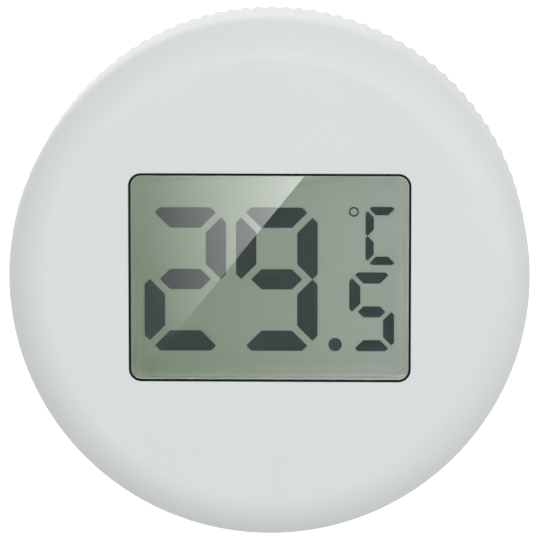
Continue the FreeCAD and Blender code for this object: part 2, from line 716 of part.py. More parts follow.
def make_front_shell():
    body = new_body("front_shell")
    sketch = new_sketch(body, "shell_profile", "XY_Plane")
    rim_inside = body_radius - size("shell_wall")
    groove_top = seam + size("shell_groove")
    draw_profile(
        sketch,
        [
            (NOTHING, face),
            (body_radius, face),
            (body_radius, seam),
            (rim_inside, seam),
            (rim_inside, groove_top),
            (sleeve_radius, groove_top),
            (sleeve_radius, sleeve_end),
            (sleeve_bore, sleeve_end),
            (sleeve_bore, face_inside),
            (NOTHING, face_inside),
        ],
    )
    shell = turn(body, sketch, "shell")
    round_edges(body, shell, "face_edge", size("face_rounding"), (body_radius, face))
    lugs(body, sleeve_radius - size("lug_root"), sleeve_lug_tip, sleeve_lug_back, "sleeve_lug")

    opening = new_sketch(body, "window_outline", level=face)
    draw_rounded_rectangle(
        opening, size("window_width") + size("gasket_line") * 2,
        size("window_height") + size("gasket_line") * 2,
        size("window_corner") + size("gasket_line"), **window_centre,
    )
    pocket(body, opening, "window", size("face_wall"))

    boss_sketch = new_sketch(body, "boss_outline", level=board_front)
    draw_circle(boss_sketch, boss_circle, NOTHING, size("boss_radius"))
    boss = pad(body, boss_sketch, "boss", face_inside - board_front)
    bore_sketch = new_sketch(body, "boss_bore_outline", level=board_front)
    draw_circle(bore_sketch, boss_circle, NOTHING, size("screw_radius") + size("screw_gap"))
    bore_depth = size("screw_length") - size("board_thickness") + size("screw_radius")
    bore = pocket(body, bore_sketch, "boss_bore", bore_depth, outwards=True)
    repeat(body, [boss, bore], boss_sketch, "N_Axis", as_size(4), "bosses")

    key_sketch = new_sketch(body, "key_outline", level=key_end)
    key_inside = sleeve_bore - size("key_height")
    key_root = sleeve_bore + size("sleeve_wall") / 2
    draw_rectangle(key_sketch, size("key_width"), key_root - key_inside, up=(key_root + key_inside) / 2)
    key = pad(body, key_sketch, "key", face_inside - key_end)
    body.Tip = key


def make_plate(name, outlines, back, front):
    """A flat piece between two levels. Each outline is (width, height, corner) round the window's centre."""
    body = new_body(name)
    sketch = new_sketch(body, f"{name}_outline", level=back)
    for width, height, corner in outlines:
        if corner is None:
            draw_rectangle(sketch, width, height, **window_centre)
        else:
            draw_rounded_rectangle(sketch, width, height, corner, **window_centre)
    pad(body, sketch, f"{name}_plate", front - back)
    return body


def make_lens():
    """The clear lens with its flange, and the dark gasket that seals it in the window."""
    window = (size("window_width"), size("window_height"), size("window_corner"))
    flange = (
        size("window_width") + size("lens_flange") * 2,
        size("window_height") + size("lens_flange") * 2,
        size("window_corner") + size("lens_flange"),
    )
    opening = tuple(length + size("gasket_line") * 2 for length in window[:2])
    opening += (size("window_corner") + size("gasket_line"),)

    lens = make_plate("display_lens", [flange], lens_back, lens_shoulder)
    block = new_sketch(lens, "lens_block_outline", level=lens_shoulder)
    draw_rounded_rectangle(block, *window, **window_centre)
    pad(lens, block, "lens_block", face - size("lens_recess") - lens_shoulder)

    gasket = make_plate("lens_gasket", [flange, window], lens_shoulder, face_inside)
    collar = new_sketch(gasket, "gasket_collar_outline", level=lens_shoulder)
    draw_rounded_rectangle(collar, *opening, **window_centre)
    draw_rounded_rectangle(collar, *window, **window_centre)
    pad(gasket, collar, "gasket_collar", face - size("gasket_recess") - lens_shoulder)


def make_display():
    """The liquid crystal display as a stack of flat pieces, its frame and its two contact strips."""
    rear_height = glass_height - size("glass_ledge") * 2
    seal = size("edge_seal")
    margin = size("polariser_margin") * 2
    polariser = (size("window_width") + margin, size("window_height") + margin, None)
    make_plate("lcd_polariser", [polariser], polariser_back, polariser_front)
    make_plate("lcd_front_glass", [(glass_width, glass_height, None)], segments_front, polariser_back)
    seal_outlines = [(glass_width, rear_height, None), (glass_width - seal * 2, rear_height - seal * 2, None)]
    make_plate("lcd_edge_seal", seal_outlines, segments_back, segments_front)
    make_plate("lcd_rear_glass", [(glass_width, rear_height, None)], rear_glass_back, segments_back)
    foil = [(glass_width - seal, rear_height - seal, None)]
    make_plate("lcd_reflector", foil, reflector_back, rear_glass_back)

    frame_outline = (frame_half_width * 2, frame_half_height * 2, size("frame_corner"))
    frame = make_plate("lcd_frame", [frame_outline], board_front, lens_back - size("stack_gap"))
    seat = new_sketch(frame, "frame_pocket_outline", level=lens_back - size("stack_gap"))
    gap = size("frame_gap") * 2
    draw_rectangle(seat, glass_width + gap, glass_height + gap, **window_centre)
    pocket(frame, seat, "frame_pocket", lens_back - size("stack_gap") - frame_seat)
    strip_length = glass_width - size("strip_inset") * 2
    strip_offset = (glass_height - size("glass_ledge")) / 2
    slots = new_sketch(frame, "strip_slot_outlines", level=frame_seat)
    for side in (-1, 1):
        centre = size("window_lift") + strip_offset * side
        draw_rectangle(slots, strip_length + gap, size("strip_width") + gap, size("window_shift"), centre)
    pocket(frame, slots, "strip_slots", size("frame_floor"))

    for name, side in (("lower_contact_strip", -1), ("upper_contact_strip", 1)):
        strip = new_body(name)
        outline = new_sketch(strip, f"{name}_outline", level=board_front)
        centre = size("window_lift") + strip_offset * side
        draw_rectangle(outline, strip_length, size("strip_width"), size("window_shift"), centre)
        pad(strip, outline, f"{name}_block", segments_front - board_front)


# The seven segments of a digit by their usual letters, and the ones that each sign lights
DIGIT_TWO = "abged"
DIGIT_NINE = "abcdfg"
DIGIT_FIVE = "afgcd"
LETTER_C = "afed"


def segment_corners(letter, width, height, stroke, split, gap):
    """Corners of one segment of a digit whose lower left corner is at the origin.

    All ends are cut at 45 degrees, and the cuts stand clear of the digit's diagonals by the split.
    """
    middle = height / 2
    half = stroke / 2
    nib = stroke / 4
    if letter == "g":
        left, right = split + half, width - split - half
        points = [(left, middle), (left + half, middle + half), (right - half, middle + half)]
        return points + [(right, middle), (right - half, middle - half), (left + half, middle - half)]
    if letter == "a":
        points = [(split + nib, height - nib), (split + half, height), (width - split - half, height)]
        points += [(width - split - nib, height - nib), (width - split - stroke, height - stroke)]
        return points + [(split + stroke, height - stroke)]
    if letter == "d":
        return [(x, height - y) for x, y in segment_corners("a", width, height, stroke, split, gap)]
    if letter == "b":
        foot = middle + gap / 2
        points = [(width - nib, height - split - nib), (width, height - split - half)]
        points += [(width, foot + nib), (width - nib, foot), (width - stroke, foot + 3 * nib)]
        return points + [(width - stroke, height - split - stroke)]
    if letter == "c":
        return [(x, height - y) for x, y in segment_corners("b", width, height, stroke, split, gap)]
    if letter == "f":
        return [(width - x, y) for x, y in segment_corners("b", width, height, stroke, split, gap)]
    return [(width - x, height - y) for x, y in segment_corners("b", width, height, stroke, split, gap)]


def make_segments():
    """The dark areas of the display, each a thin film between the two glasses."""
    level = segments_back.value
    film = segments_front.value - level
    gap = size("segment_gap").value
    left_edge = size("window_shift").value - size("window_width").value / 2
    right_edge = size("window_shift").value + size("window_width").value / 2
    foot = size("window_lift").value - size("window_height").value / 2 + size("digit_base").value
    first_left = left_edge + size("digit_margin").value
    tenth_left = right_edge - size("tenth_margin").value - size("tenth_width").value
    letter_inset = size("unit_split").value + size("unit_stroke").value / 4
    unit_left = right_edge - size("tenth_margin").value - size("unit_width").value + letter_inset
    unit_top = foot + size("digit_height").value + size("unit_lift").value
    signs = [
        (DIGIT_TWO, first_left, foot, "digit"),
        (DIGIT_NINE, first_left + size("digit_pitch").value, foot, "digit"),
        (DIGIT_FIVE, tenth_left, foot, "tenth"),
        (LETTER_C, unit_left, unit_top - size("unit_height").value, "unit"),
    ]
    films = []
    for letters, left, low, kind in signs:
        width, height = size(f"{kind}_width").value, size(f"{kind}_height").value
        stroke, split = size(f"{kind}_stroke").value, size(f"{kind}_split").value
        for letter in letters:
            corners = segment_corners(letter, width, height, stroke, split, gap)
            points = [FreeCAD.Vector(left + x, -level, low + z) for x, z in corners]
            face_shape = Part.Face(Part.makePolygon(points + points[:1]))
            films.append(face_shape.extrude(FreeCAD.Vector(0, -film, 0)))
    outwards = FreeCAD.Vector(0, -1, 0)
    point_left = tenth_left - size("point_offset").value
    point = FreeCAD.Vector(point_left, -level, foot + size("point_lift").value)
    films.append(Part.makeCylinder(size("point_radius").value, film, point, outwards))
    ring_radius = size("degree_radius").value
    ring = FreeCAD.Vector(unit_left - size("degree_offset").value, -level, unit_top - ring_radius)
    hole = Part.makeCylinder(ring_radius - size("degree_stroke").value, film, ring, outwards)
    films.append(Part.makeCylinder(ring_radius, film, ring, outwards).cut(hole))
    feature = document.addObject("Part::Feature", "lcd_segments")
    feature.Label = "lcd_segments"
    feature.Shape = Part.makeCompound(films)


def make_circuit_board():
    """The round board with its four screw holes, and the four screws."""
    board = new_body("circuit_board")
    sketch = new_sketch(board, "board_outline", level=board_back)
    draw_circle(sketch, NOTHING, NOTHING, board_radius)
    pad(board, sketch, "board_disc", size("board_thickness"))
    hole_sketch = new_sketch(board, "board_hole_outline", level=board_front)
    draw_circle(hole_sketch, boss_circle, NOTHING, size("screw_radius") + size("board_gap"))
    hole = pocket(board, hole_sketch, "board_hole", size("board_thickness"))
    repeat(board, [hole], hole_sketch, "N_Axis", as_size(4), "board_holes")

    screws = new_body("board_screws")
    head_back = board_back - size("screw_head_height")
    head_sketch = new_sketch(screws, "screw_head_outline", level=head_back)
    draw_circle(head_sketch, boss_circle, NOTHING, size("screw_head_radius"))
    head = pad(screws, head_sketch, "screw_head", size("screw_head_height"))
    shank_sketch = new_sketch(screws, "screw_shank_outline", level=board_back)
    draw_circle(shank_sketch, boss_circle, NOTHING, size("screw_radius"))
    shank = pad(screws, shank_sketch, "screw_shank", size("screw_length"))
    slot_sketch = new_sketch(screws, "screw_slot_outline", level=head_back)
    slot_width = size("screw_head_radius") * 0.28
    draw_rectangle(slot_sketch, size("screw_head_radius") * 3, slot_width, across=boss_circle)
    slot = pocket(screws, slot_sketch, "screw_slot", size("screw_head_height") * 0.45, outwards=True)
    repeat(screws, [head, shank, slot], head_sketch, "N_Axis", as_size(4), "screws")


def make_board_parts():
    """What is soldered to the back of the circuit board."""
    drop = new_body("chip_cover")
    sketch = new_sketch(drop, "drop_profile", "XY_Plane")
    radius, height = size("chip_radius"), size("chip_height")
    dome = (radius * radius + height * height) / (height * 2)
    draw_profile(
        sketch, [(NOTHING, board_back), (NOTHING, board_back - height), (radius, board_back)], {1: -dome}
    )
    turn(drop, sketch, "drop")
    move(drop, *around(40))

    switch = new_body("unit_switch")
    switch_back = board_back - size("switch_height")
    sketch = new_sketch(switch, "switch_outline", level=switch_back)
    draw_rectangle(sketch, size("switch_width"), size("switch_width"))
    pad(switch, sketch, "switch_block", size("switch_height"))
    bore = new_sketch(switch, "button_bore_outline", level=switch_back)
    draw_circle(bore, NOTHING, NOTHING, size("button_radius") + size("button_gap"))
    pocket(switch, bore, "button_bore", size("button_depth") + size("button_room"), outwards=True)
    move(switch, *around(148))

    button = new_body("unit_button")
    sketch = new_sketch(button, "button_outline", level=switch_back - size("button_reach"))
    draw_circle(sketch, NOTHING, NOTHING, size("button_radius"))
    pad(button, sketch, "button_stem", size("button_reach") + size("button_depth"))
    move(button, *around(148))

    crystal = document.addObject("Part::Cylinder", "timing_crystal")
    crystal.Label = "timing_crystal"
    crystal.setExpression("Radius", size("crystal_radius").text)
    crystal.setExpression("Height", size("crystal_length").text)
    along_x = FreeCAD.Rotation(FreeCAD.Vector(0, 1, 0), 90)
    crystal.Placement = FreeCAD.Placement(FreeCAD.Vector(0, 0, 0), along_x)
    across, up = around(322)
    crystal.setExpression("Placement.Base.x", (across - size("crystal_length") / 2).text)
    crystal.setExpression("Placement.Base.y", (-(board_back - size("crystal_radius"))).text)
    crystal.setExpression("Placement.Base.z", up.text)

    chips = new_body("surface_mount_parts")
    sketch = new_sketch(chips, "chip_part_outlines", level=board_back - size("chip_part_height"))
    for angle in (72, 84, 112, 196, 208, 220, 238):
        across, up = around(angle)
        draw_rectangle(sketch, size("chip_part_length"), size("chip_part_width"), across, up)
    pad(chips, sketch, "chip_parts", size("chip_part_height"))


def make_battery():
    """The tray, the coin cell and the two contacts."""
    tray = new_body("battery_tray")
    sketch = new_sketch(tray, "tray_profile", "XY_Plane")
    tray_back = board_back - size("tray_height")
    draw_profile(
        sketch,
        [
            (size("spring_window"), board_back),
            (tray_radius, board_back),
            (tray_radius, tray_back),
            (tray_bore, tray_back),
            (tray_bore, cell_front),
            (size("spring_window"), cell_front),
        ],
    )
    turn(tray, sketch, "tray")
    notch = new_sketch(tray, "tray_notch_outline", level=cell_front)
    draw_rectangle(notch, size("tray_notch"), size("tray_wall") * 3, up=tray_radius)
    pocket(tray, notch, "tray_notch_cut", cell_front - tray_back)

    cell = new_body("coin_cell")
    sketch = new_sketch(cell, "cell_profile", "XY_Plane")
    cap_radius = size("cell_radius") - size("cell_cap_inset")
    shoulder = cell_front - size("cell_cap_height")
    draw_profile(
        sketch,
        [
            (NOTHING, cell_front),
            (cap_radius, cell_front),
            (cap_radius, shoulder),
            (size("cell_radius"), shoulder),
            (size("cell_radius"), cell_back),
            (NOTHING, cell_back),
        ],
    )
    can = turn(cell, sketch, "can")
    can_edges = ((size("cell_radius"), shoulder), (size("cell_radius"), cell_back))
    round_edges(cell, can, "can_rounding", size("cell_cap_height"), *can_edges)

    sheet_metal = size("clip_thickness")
    leg = tray_radius + size("tray_gap")
    clip = new_body("battery_plus_clip")
    sketch = new_sketch(clip, "clip_profile", "XY_Plane")
    half = [(leg + sheet_metal, board_back), (leg + sheet_metal, clip_back)]
    inner_half = [(leg, clip_front), (leg, board_back)]
    corners = [(-across, level) for across, level in half]
    corners += half[::-1]
    corners += inner_half[::-1]
    corners += [(-across, level) for across, level in inner_half]
    draw_profile(sketch, corners)
    pad(clip, sketch, "strap", size("clip_width"), both_ways=True)

    metal = size("spring_thickness")
    crest = cell_front + size("clip_gap") / 2
    reach = size("spring_window") * 0.9
    foot = size("spring_window") * 0.52
    top = size("spring_window") * 0.26
    spring = new_body("battery_minus_spring")
    sketch = new_sketch(spring, "spring_profile", "XY_Plane")
    half = [(reach, board_back), (reach, board_back - metal)]
    half += [(foot + metal, board_back - metal), (top + metal, crest)]
    inner_half = [(top, crest + metal), (foot, board_back)]
    corners = [(-across, level) for across, level in half]
    corners += half[::-1]
    corners += inner_half[::-1]
    corners += [(-across, level) for across, level in inner_half]
    draw_profile(sketch, corners)
    pad(spring, sketch, "leaf", size("spring_width"), both_ways=True)


def make_locking_ring():
    body = new_body("locking_ring")
    sketch = new_sketch(body, "ring_profile", "XY_Plane")
    snap = (ring_back + lip_front) / 2
    snap_half = size("snap_width") + size("snap_gap")
    draw_profile(
        sketch,
        [
            (body_radius, ring_front),
            (body_radius, ring_back),
            (lip_bore, ring_back),
            (lip_bore, snap - snap_half),
            (collar_radius + size("snap_height") + size("snap_gap"), snap),
            (lip_bore, snap + snap_half),
            (lip_bore, lip_front),
            (ring_bore, lip_front),
            (ring_bore, ring_front),
        ],
    )
    ring = turn(body, sketch, "ring")
    back_edge = round_edges(body, ring, "back_edge", size("ring_back_rounding"), (body_radius, ring_back))
    round_edges(body, back_edge, "front_edge", size("ring_front_rounding"), (body_radius, ring_front))
    lugs(body, ring_lug_tip, ring_bore + size("lug_root"), ring_lug_back, "ring_lug")

    # Each grip groove is a slim cone that deepens from its front end to the ring's back
    groove_sketch = new_sketch(body, "grip_groove_outline", level=ring_back + size("rib_length"))
    deepening = size("rib_depth") - size("rib_start")
    start_radius = size("rib_groove") - deepening
    draw_circle(groove_sketch, body_radius + size("rib_groove") - size("rib_depth"), NOTHING, start_radius)
    groove = body.newObject("PartDesign::Pocket", "grip_groove")
    groove.Profile = groove_sketch
    groove.setExpression("Length", size("rib_length").text)
    flare = deepening / size("rib_length")
    groove.setExpression("TaperAngle", f"atan({flare.text})")
    document.recompute()
    repeat(body, [groove], groove_sketch, "N_Axis", size("rib_count"), "grip_grooves")


make_suction_cup()
make_back_plate()
make_sealing_ring()
make_sensor()
make_contact_pins()
make_front_shell()
make_lens()
make_display()
make_segments()
make_circuit_board()
make_board_parts()
make_battery()
make_locking_ring()
document.recompute()

# Every object must be sound before anything is written
for thing in document.Objects:
    if "Invalid" in thing.State or "Error" in thing.State:
        raise RuntimeError(f"{thing.Name} failed: {thing.State}")

PRIMITIVES = ("PartDesign::Body", "Part::Feature", "Part::Cylinder")
pieces = [thing for thing in document.Objects if thing.TypeId in PRIMITIVES]
for piece in pieces:
    if piece.Shape.isNull() or not piece.Shape.isValid() or piece.Shape.Volume <= 0:
        raise RuntimeError(f"{piece.Label} has no valid shape")

os.makedirs("parts", exist_ok=True)
for piece in pieces:
    piece.Shape.exportStep(f"parts/{piece.Label}.step")
    box = piece.Shape.BoundBox
    print(
        f"{piece.Label:24s} solids {len(piece.Shape.Solids):2d}  volume {piece.Shape.Volume:9.2f}"
        f"  x {box.XMin:7.2f} {box.XMax:7.2f}  y {box.YMin:7.2f} {box.YMax:7.2f}"
        f"  z {box.ZMin:7.2f} {box.ZMax:7.2f}"
    )
depths = (face.value, (face - ring_back).value)
print(f"diameter {2 * body_radius.value:.2f}, depth with cup {depths[0]:.2f}, body depth {depths[1]:.2f}")
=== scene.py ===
import json
import math

import bmesh
import bpy
import numpy as np
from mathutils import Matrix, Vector


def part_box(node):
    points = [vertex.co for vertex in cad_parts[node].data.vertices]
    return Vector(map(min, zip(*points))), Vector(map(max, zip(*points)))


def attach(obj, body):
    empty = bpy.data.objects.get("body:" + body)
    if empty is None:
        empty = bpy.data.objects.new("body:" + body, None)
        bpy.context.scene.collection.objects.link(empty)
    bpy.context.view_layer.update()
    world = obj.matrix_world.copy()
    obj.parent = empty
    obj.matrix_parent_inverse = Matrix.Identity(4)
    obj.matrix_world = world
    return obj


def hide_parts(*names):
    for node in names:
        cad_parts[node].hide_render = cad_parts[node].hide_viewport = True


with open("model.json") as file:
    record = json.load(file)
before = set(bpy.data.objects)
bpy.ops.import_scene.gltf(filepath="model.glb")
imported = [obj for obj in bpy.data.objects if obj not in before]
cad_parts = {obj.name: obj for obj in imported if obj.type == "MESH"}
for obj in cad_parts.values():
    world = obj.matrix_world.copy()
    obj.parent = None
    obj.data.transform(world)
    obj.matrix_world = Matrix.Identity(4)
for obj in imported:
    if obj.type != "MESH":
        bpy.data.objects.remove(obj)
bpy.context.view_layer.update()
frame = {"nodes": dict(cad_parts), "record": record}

MM = 0.001
FULL = 2 * math.pi


def levels(node):
    """The levels at which a node begins and ends: millimetres from the aquarium's glass."""
    low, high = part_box(node)
    return -high[1] / MM, -low[1] / MM


# The photograph's frame and the camera that took it
PHOTO_WIDTH = 540
PHOTO_HEIGHT = 540
CAMERA_TARGET = Vector((0, -0.0212, 0))
CAMERA_ELEVATION = math.radians(8.5)
CAMERA_AZIMUTH = math.radians(1.45)
CAMERA_DISTANCE = 0.576
CAMERA_NEAR = 0.01
CAMERA_FAR = 100
FOCAL_LENGTH = 333.3
SENSOR_WIDTH = 36.0
SHIFT_RIGHT_PIXELS = 0.8
SHIFT_UP_PIXELS = 6.6

# Lengths of the object are in millimetres: levels from the aquarium's glass, radii round the axis
FACE = 26.0
LENS_BACK, LENS_FRONT = levels("display_lens")
LENS_SHOULDER = levels("lens_gasket")[0]
LENS_PLANE = -LENS_FRONT * MM
GASKET_THICKNESS = 0.4
FACE_INSIDE = LENS_SHOULDER + GASKET_THICKNESS
BODY_RADIUS = 30.0

# The window in the face: half sizes, corner radius, the place of its centre, and the lens in it
LENS_LOW, LENS_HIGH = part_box("display_lens")
LENS_FLANGE = 2.05
LENS_CORNER = 1.2
GASKET_LINE = 0.25
LENS_AIR = 0.02
WINDOW_HALF_WIDTH = (LENS_HIGH[0] - LENS_LOW[0]) / 2 / MM - LENS_FLANGE + GASKET_LINE
WINDOW_HALF_HEIGHT = (LENS_HIGH[2] - LENS_LOW[2]) / 2 / MM - LENS_FLANGE + GASKET_LINE
WINDOW_CORNER = LENS_CORNER + GASKET_LINE
WINDOW_SHIFT = (LENS_HIGH[0] + LENS_LOW[0]) / 2 / MM
WINDOW_LIFT = (LENS_HIGH[2] + LENS_LOW[2]) / 2 / MM
WINDOW_BEVEL = 0.06
LENS_BEVEL = 0.04
LENS_FACE_MARGIN = 0.3
LENS_BACK_MARGIN = 0.5

# The front shell: its edge, the groove behind it, the sleeve, the screw bosses and the key
FACE_ROUNDING = 4.8
FACE_MARGIN_INSIDE = 0.25
FACE_MARGIN_OUTSIDE = 0.15
SEAM = 20.6
SEAM_BEVEL = 0.12
SEAM_MARGIN = 0.1
SEAM_LAND = 0.5
RIM_INSIDE = 28.0
SHELL_GROOVE_TOP = 22.4
SLEEVE_RADIUS = 26.4
SLEEVE_BORE = 24.8
SLEEVE_END = 12.0
BOSS_COUNT = 4
BOSS_CIRCLE = 21.6
BOSS_RADIUS = 1.7
BOSS_HOLE = 0.85
BOSS_END = 19.0
KEY_END = 14.6
KEY_HALF_WIDTH = 1.0
KEY_INSIDE = 24.0
KEY_OUTSIDE = 25.6
ROOT_DEPTH = 0.1

# The thread lugs on the sleeve and in the ring
LUG_COUNT = 3
LUG_SPAN = math.radians(36)
LUG_LEAD = 9.6
LUG_THICKNESS = 1.8
LUG_HEIGHT = 1.2
SLEEVE_LUG_BACK = 13.3
SLEEVE_LUG_ROOT = 0.5
RING_LUG_BACK = 15.18
RING_LUG_ROOT = 0.3

# The locking ring and its grip
RING_FRONT = 20.4
RING_BACK = 7.4
RING_BORE = 27.8
RING_FRONT_ROUNDING = 0.22
RING_BACK_ROUNDING = 0.3
RING_BACK_LAND = 28.6
LIP_FRONT = 9.3
LIP_BORE = 24.1
LIP_ROUNDING = 0.2
LIP_LAND = 0.5
SNAP_HALF_WIDTH = 0.45
SNAP_DEPTH = 0.3
RIB_COUNT = 118
RIB_DEPTH = 0.24
RIB_LENGTH = 4.4
RIB_LEAST = 0.6
RIB_SOFTNESS = 0.03
BAND_MARGIN = 0.3

# The suction cup: knob, neck, root, dish, lip, pull tab and cavity
CUP_AXIS_HOLE = 0.4
KNOB_FRONT = 10.9
KNOB_BACK = 9.0
KNOB_RADIUS = 3.6
KNOB_ROUNDING = 0.55
KNOB_LAND = 2.9
NECK_RADIUS = 2.6
NECK_ROUNDING = 0.25
ROOT_FRONT = 7.4
ROOT_BACK = 6.1
ROOT_RADIUS = 5.5
ROOT_ROUNDING = 0.5
ROOT_LAND = 4.9
DISH_START = 5.8
DISH_RUN = 12.2
DISH_DROP = 4.9
DISH_BULGE = 0.765
DISH_OUTWARDS = (0.371, 0.928)
CUP_LIP_RADIUS = 18.0
CUP_LIP_INSIDE = 15.5
CUP_LIP_THICKNESS = 0.8
CUP_LIP_ROUNDING = 0.35
CUP_LIP_LAND = (17.2, 15.7)
CUP_CAVITY = 3.6
TAB_DIRECTION = 1.5 * math.pi
TAB_HALF_WIDTH = 2.5
TAB_CENTRE = 19.5
TAB_REACH = 0.2
TAB_EASE = 1.5
TAB_RAISE = 0.2
TAB_THICKER = 0.4
TAB_FAN = 9.5
TAB_FAN_POINTS = 77
TAB_FAN_MARGIN = 0.1

# How finely the pieces are divided, and below how many degrees their edges are smooth
FACE_POINTS = 720
RING_POINTS = 1440
CUP_POINTS = 360
BOSS_POINTS = 48
LUG_LOOPS = 19
FACE_LOOPS = 8
FACE_EDGE_STEPS = 28
BEVEL_STEPS = 4
RING_FRONT_STEPS = 5
BAND_LOOPS = 6
RIB_LOOPS = 13
RING_BACK_STEPS = 12
KNOB_STEPS = 6
NECK_STEPS = 3
ROOT_STEPS = 5
DISH_LOOPS = 22
CUP_LIP_LOOPS = 9
CUP_CAVITY_LOOPS = 26
SMOOTH_BELOW = 30
CUP_SMOOTH_BELOW = 50

# The distance of a loop that keeps a bevel crisp, and the least number to divide by
NEAR = 0.01
SMALL = 1e-9

# The lens and its coat
LENS_IOR = 1.46
COAT_IOR = 1.8
COAT_REFLECTANCE = ((COAT_IOR - 1) / (COAT_IOR + 1)) ** 2
BARE_REFLECTANCE = ((LENS_IOR - 1) / (LENS_IOR + 1)) ** 2
LENS_REFLECTANCE = COAT_REFLECTANCE + (1 - COAT_REFLECTANCE) * BARE_REFLECTANCE
LENS_FRONT_SLOT = 1

# The display's ground: its colours at the left and right, which differ by painted shade that makes the
# left darker and greener, its fibres, and its borders made lighter by painted light against the shade
# of the window's walls
GROUND_SHADED_LEFT = (0.358, 0.459, 0.316)
GROUND_LIT_RIGHT = (0.631, 0.721, 0.620)
GROUND_FIBRE = 0.98
PAINTED_SHADE_CURVE = 1.2
# painted light along the display's borders, against the shade of the window's walls: its reach, its
# fall and its strength at each border
PAINTED_LIGHT_BORDER = 6.5
PAINTED_LIGHT_FALL = 8.0
PAINTED_LIGHT_LEFT = 1.27
PAINTED_LIGHT_RIGHT = 1.36
PAINTED_LIGHT_LOW = 1.3
PAINTED_LIGHT_TOP = 1.2

# The studio, with lengths in metres
WORLD_LEVEL = 0.71
FLOOR_HEIGHT = -0.16
FLOOR_REACH = 6
FLOOR_DARKER = (0.65, 0.65, 0.65)
FLOOR_PALER = (0.67, 0.67, 0.67)
FLOOR_GLOW = 0.7
FLOOR_GLOW_MIRRORED = 0.4
LAMP_WIDTH = 1.4
LAMP_HEIGHT = 1.2
LAMPS = (
    ("lamp_front", (0, -1.8, 0.3), 8.7),
    ("lamp_right", (1.2, -1.3, 0.35), 3.8),
    ("lamp_back", (0, 0.9, 1.3), 1.5),
    ("lamp_rim", (-0.45, 1.6, 0.33), 2.4),
)

# The cards that the lens mirrors: distances in metres, places as pixels of the photograph
GLOSS_CARD_DISTANCE = 0.85
DARK_CARD_DISTANCE = 0.86
DARK_CARD_LEFT = 60.0
DARK_CARD_RIGHT = 480.0
DARK_CARD_TOP = 100.0
DARK_CARD_LOW = 450.0
GLOSS_EDGE_TOP = (304.8, 175.7)
GLOSS_EDGE_LOW = (177.4, 331.0)
GLOSS_EDGE_BEFORE = 0.2
GLOSS_EDGE_AFTER = 1.25
GLOSS_LEFT_PIXEL = 120.0
GLOSS_START_PIXEL = (138.0, 184.0)

# The gloss: its share of white at the start and the least anywhere, and its change with each step
GLOSS_START = 0.04
GLOSS_LEAST = 0.012
GLOSS_COLOUR = (0.97, 1.0, 0.985)
GLOSS_STEP_PIXELS = 100.0
GLOSS_STEPS = 4.0
GLOSS_PER_STEP_RIGHT = 0.177
GLOSS_PER_STEP_DOWN = -0.043
GLOSS_CURVE = 1.22


def whole_round(count):
    """Angles of points evenly round the axis."""
    return np.linspace(0, FULL, count, endpoint=False)


def turned(angles, radius, level):
    """A loop of points round the axis, at a radius and a level that may change along the loop."""
    radius = np.broadcast_to(radius, angles.shape)
    level = np.broadcast_to(level, angles.shape)
    return np.stack([radius * np.cos(angles), -level, radius * np.sin(angles)], axis=1)


def window_loop(angles, grow, level):
    """A loop of points round the window, grown by a length all round."""
    half_width = WINDOW_HALF_WIDTH + grow
    half_height = WINDOW_HALF_HEIGHT + grow
    corner = WINDOW_CORNER + grow
    across = np.cos(angles)
    up = np.sin(angles)
    reach = np.minimum(
        half_width / np.maximum(abs(across), SMALL),
        half_height / np.maximum(abs(up), SMALL),
    )
    middle_x = half_width - corner
    middle_z = half_height - corner
    in_corner = (abs(across) * reach > middle_x) & (abs(up) * reach > middle_z)
    along = abs(across) * middle_x + abs(up) * middle_z
    inside = along ** 2 - middle_x ** 2 - middle_z ** 2 + corner ** 2
    reach = np.where(in_corner, along + np.sqrt(np.maximum(inside, 0)), reach)
    level = np.broadcast_to(float(level), angles.shape)
    return np.stack([WINDOW_SHIFT + reach * across, -level, WINDOW_LIFT + reach * up], axis=1)


def bend(centre_radius, centre_level, rounding, first, last, steps):
    """Profile points (radius, level) along an arc, its angles in degrees from the radius outwards."""
    points = []
    for angle in np.radians(np.linspace(first, last, steps + 1)):
        points.append((
            centre_radius + rounding * math.cos(angle),
            centre_level + rounding * math.sin(angle),
        ))
    return points


def skin(loops, closed=True):
    """Points and faces of a surface through loops that have as many points each.

    A closed one joins its last loop to its first. Any other is capped at both ends.
    """
    loops = [np.asarray(loop) for loop in loops]
    rows = len(loops)
    columns = len(loops[0])
    points = [tuple(point) for loop in loops for point in loop]
    faces = []
    for row in range(rows if closed else rows - 1):
        this_row = row * columns
        next_row = (row + 1) % rows * columns
        for column in range(columns):
            after = (column + 1) % columns
            faces.append((this_row + column, this_row + after, next_row + after, next_row + column))
    capped = () if closed else (0, rows - 1)
    for row in capped:
        centre = len(points)
        points.append(tuple(loops[row].mean(axis=0)))
        start = row * columns
        for column in range(columns):
            faces.append((start + column, start + (column + 1) % columns, centre))
    return points, faces


def box_between(low, high):
    """Points and faces of a plain block, used for the key inside the shell."""
    loops = []
    for level in (low[1], high[1]):
        loops.append([
            (low[0], -level, low[2]),
            (high[0], -level, low[2]),
            (high[0], -level, high[2]),
            (low[0], -level, high[2]),
        ])
    return skin(loops, closed=False)


def thread_lug(start, inner, outer, back):
    """Points and faces of one thread lug, which rises towards the glass along its length."""
    loops = []
    for share in np.linspace(0, 1, LUG_LOOPS):
        angle = np.array([start + LUG_SPAN * share])
        low = back - LUG_LEAD * LUG_SPAN * share / FULL
        high = low + LUG_THICKNESS
        corners = ((inner, low), (outer, low), (outer, high), (inner, high))
        loops.append(np.concatenate([turned(angle, radius, level) for radius, level in corners]))
    return skin(loops, closed=False)


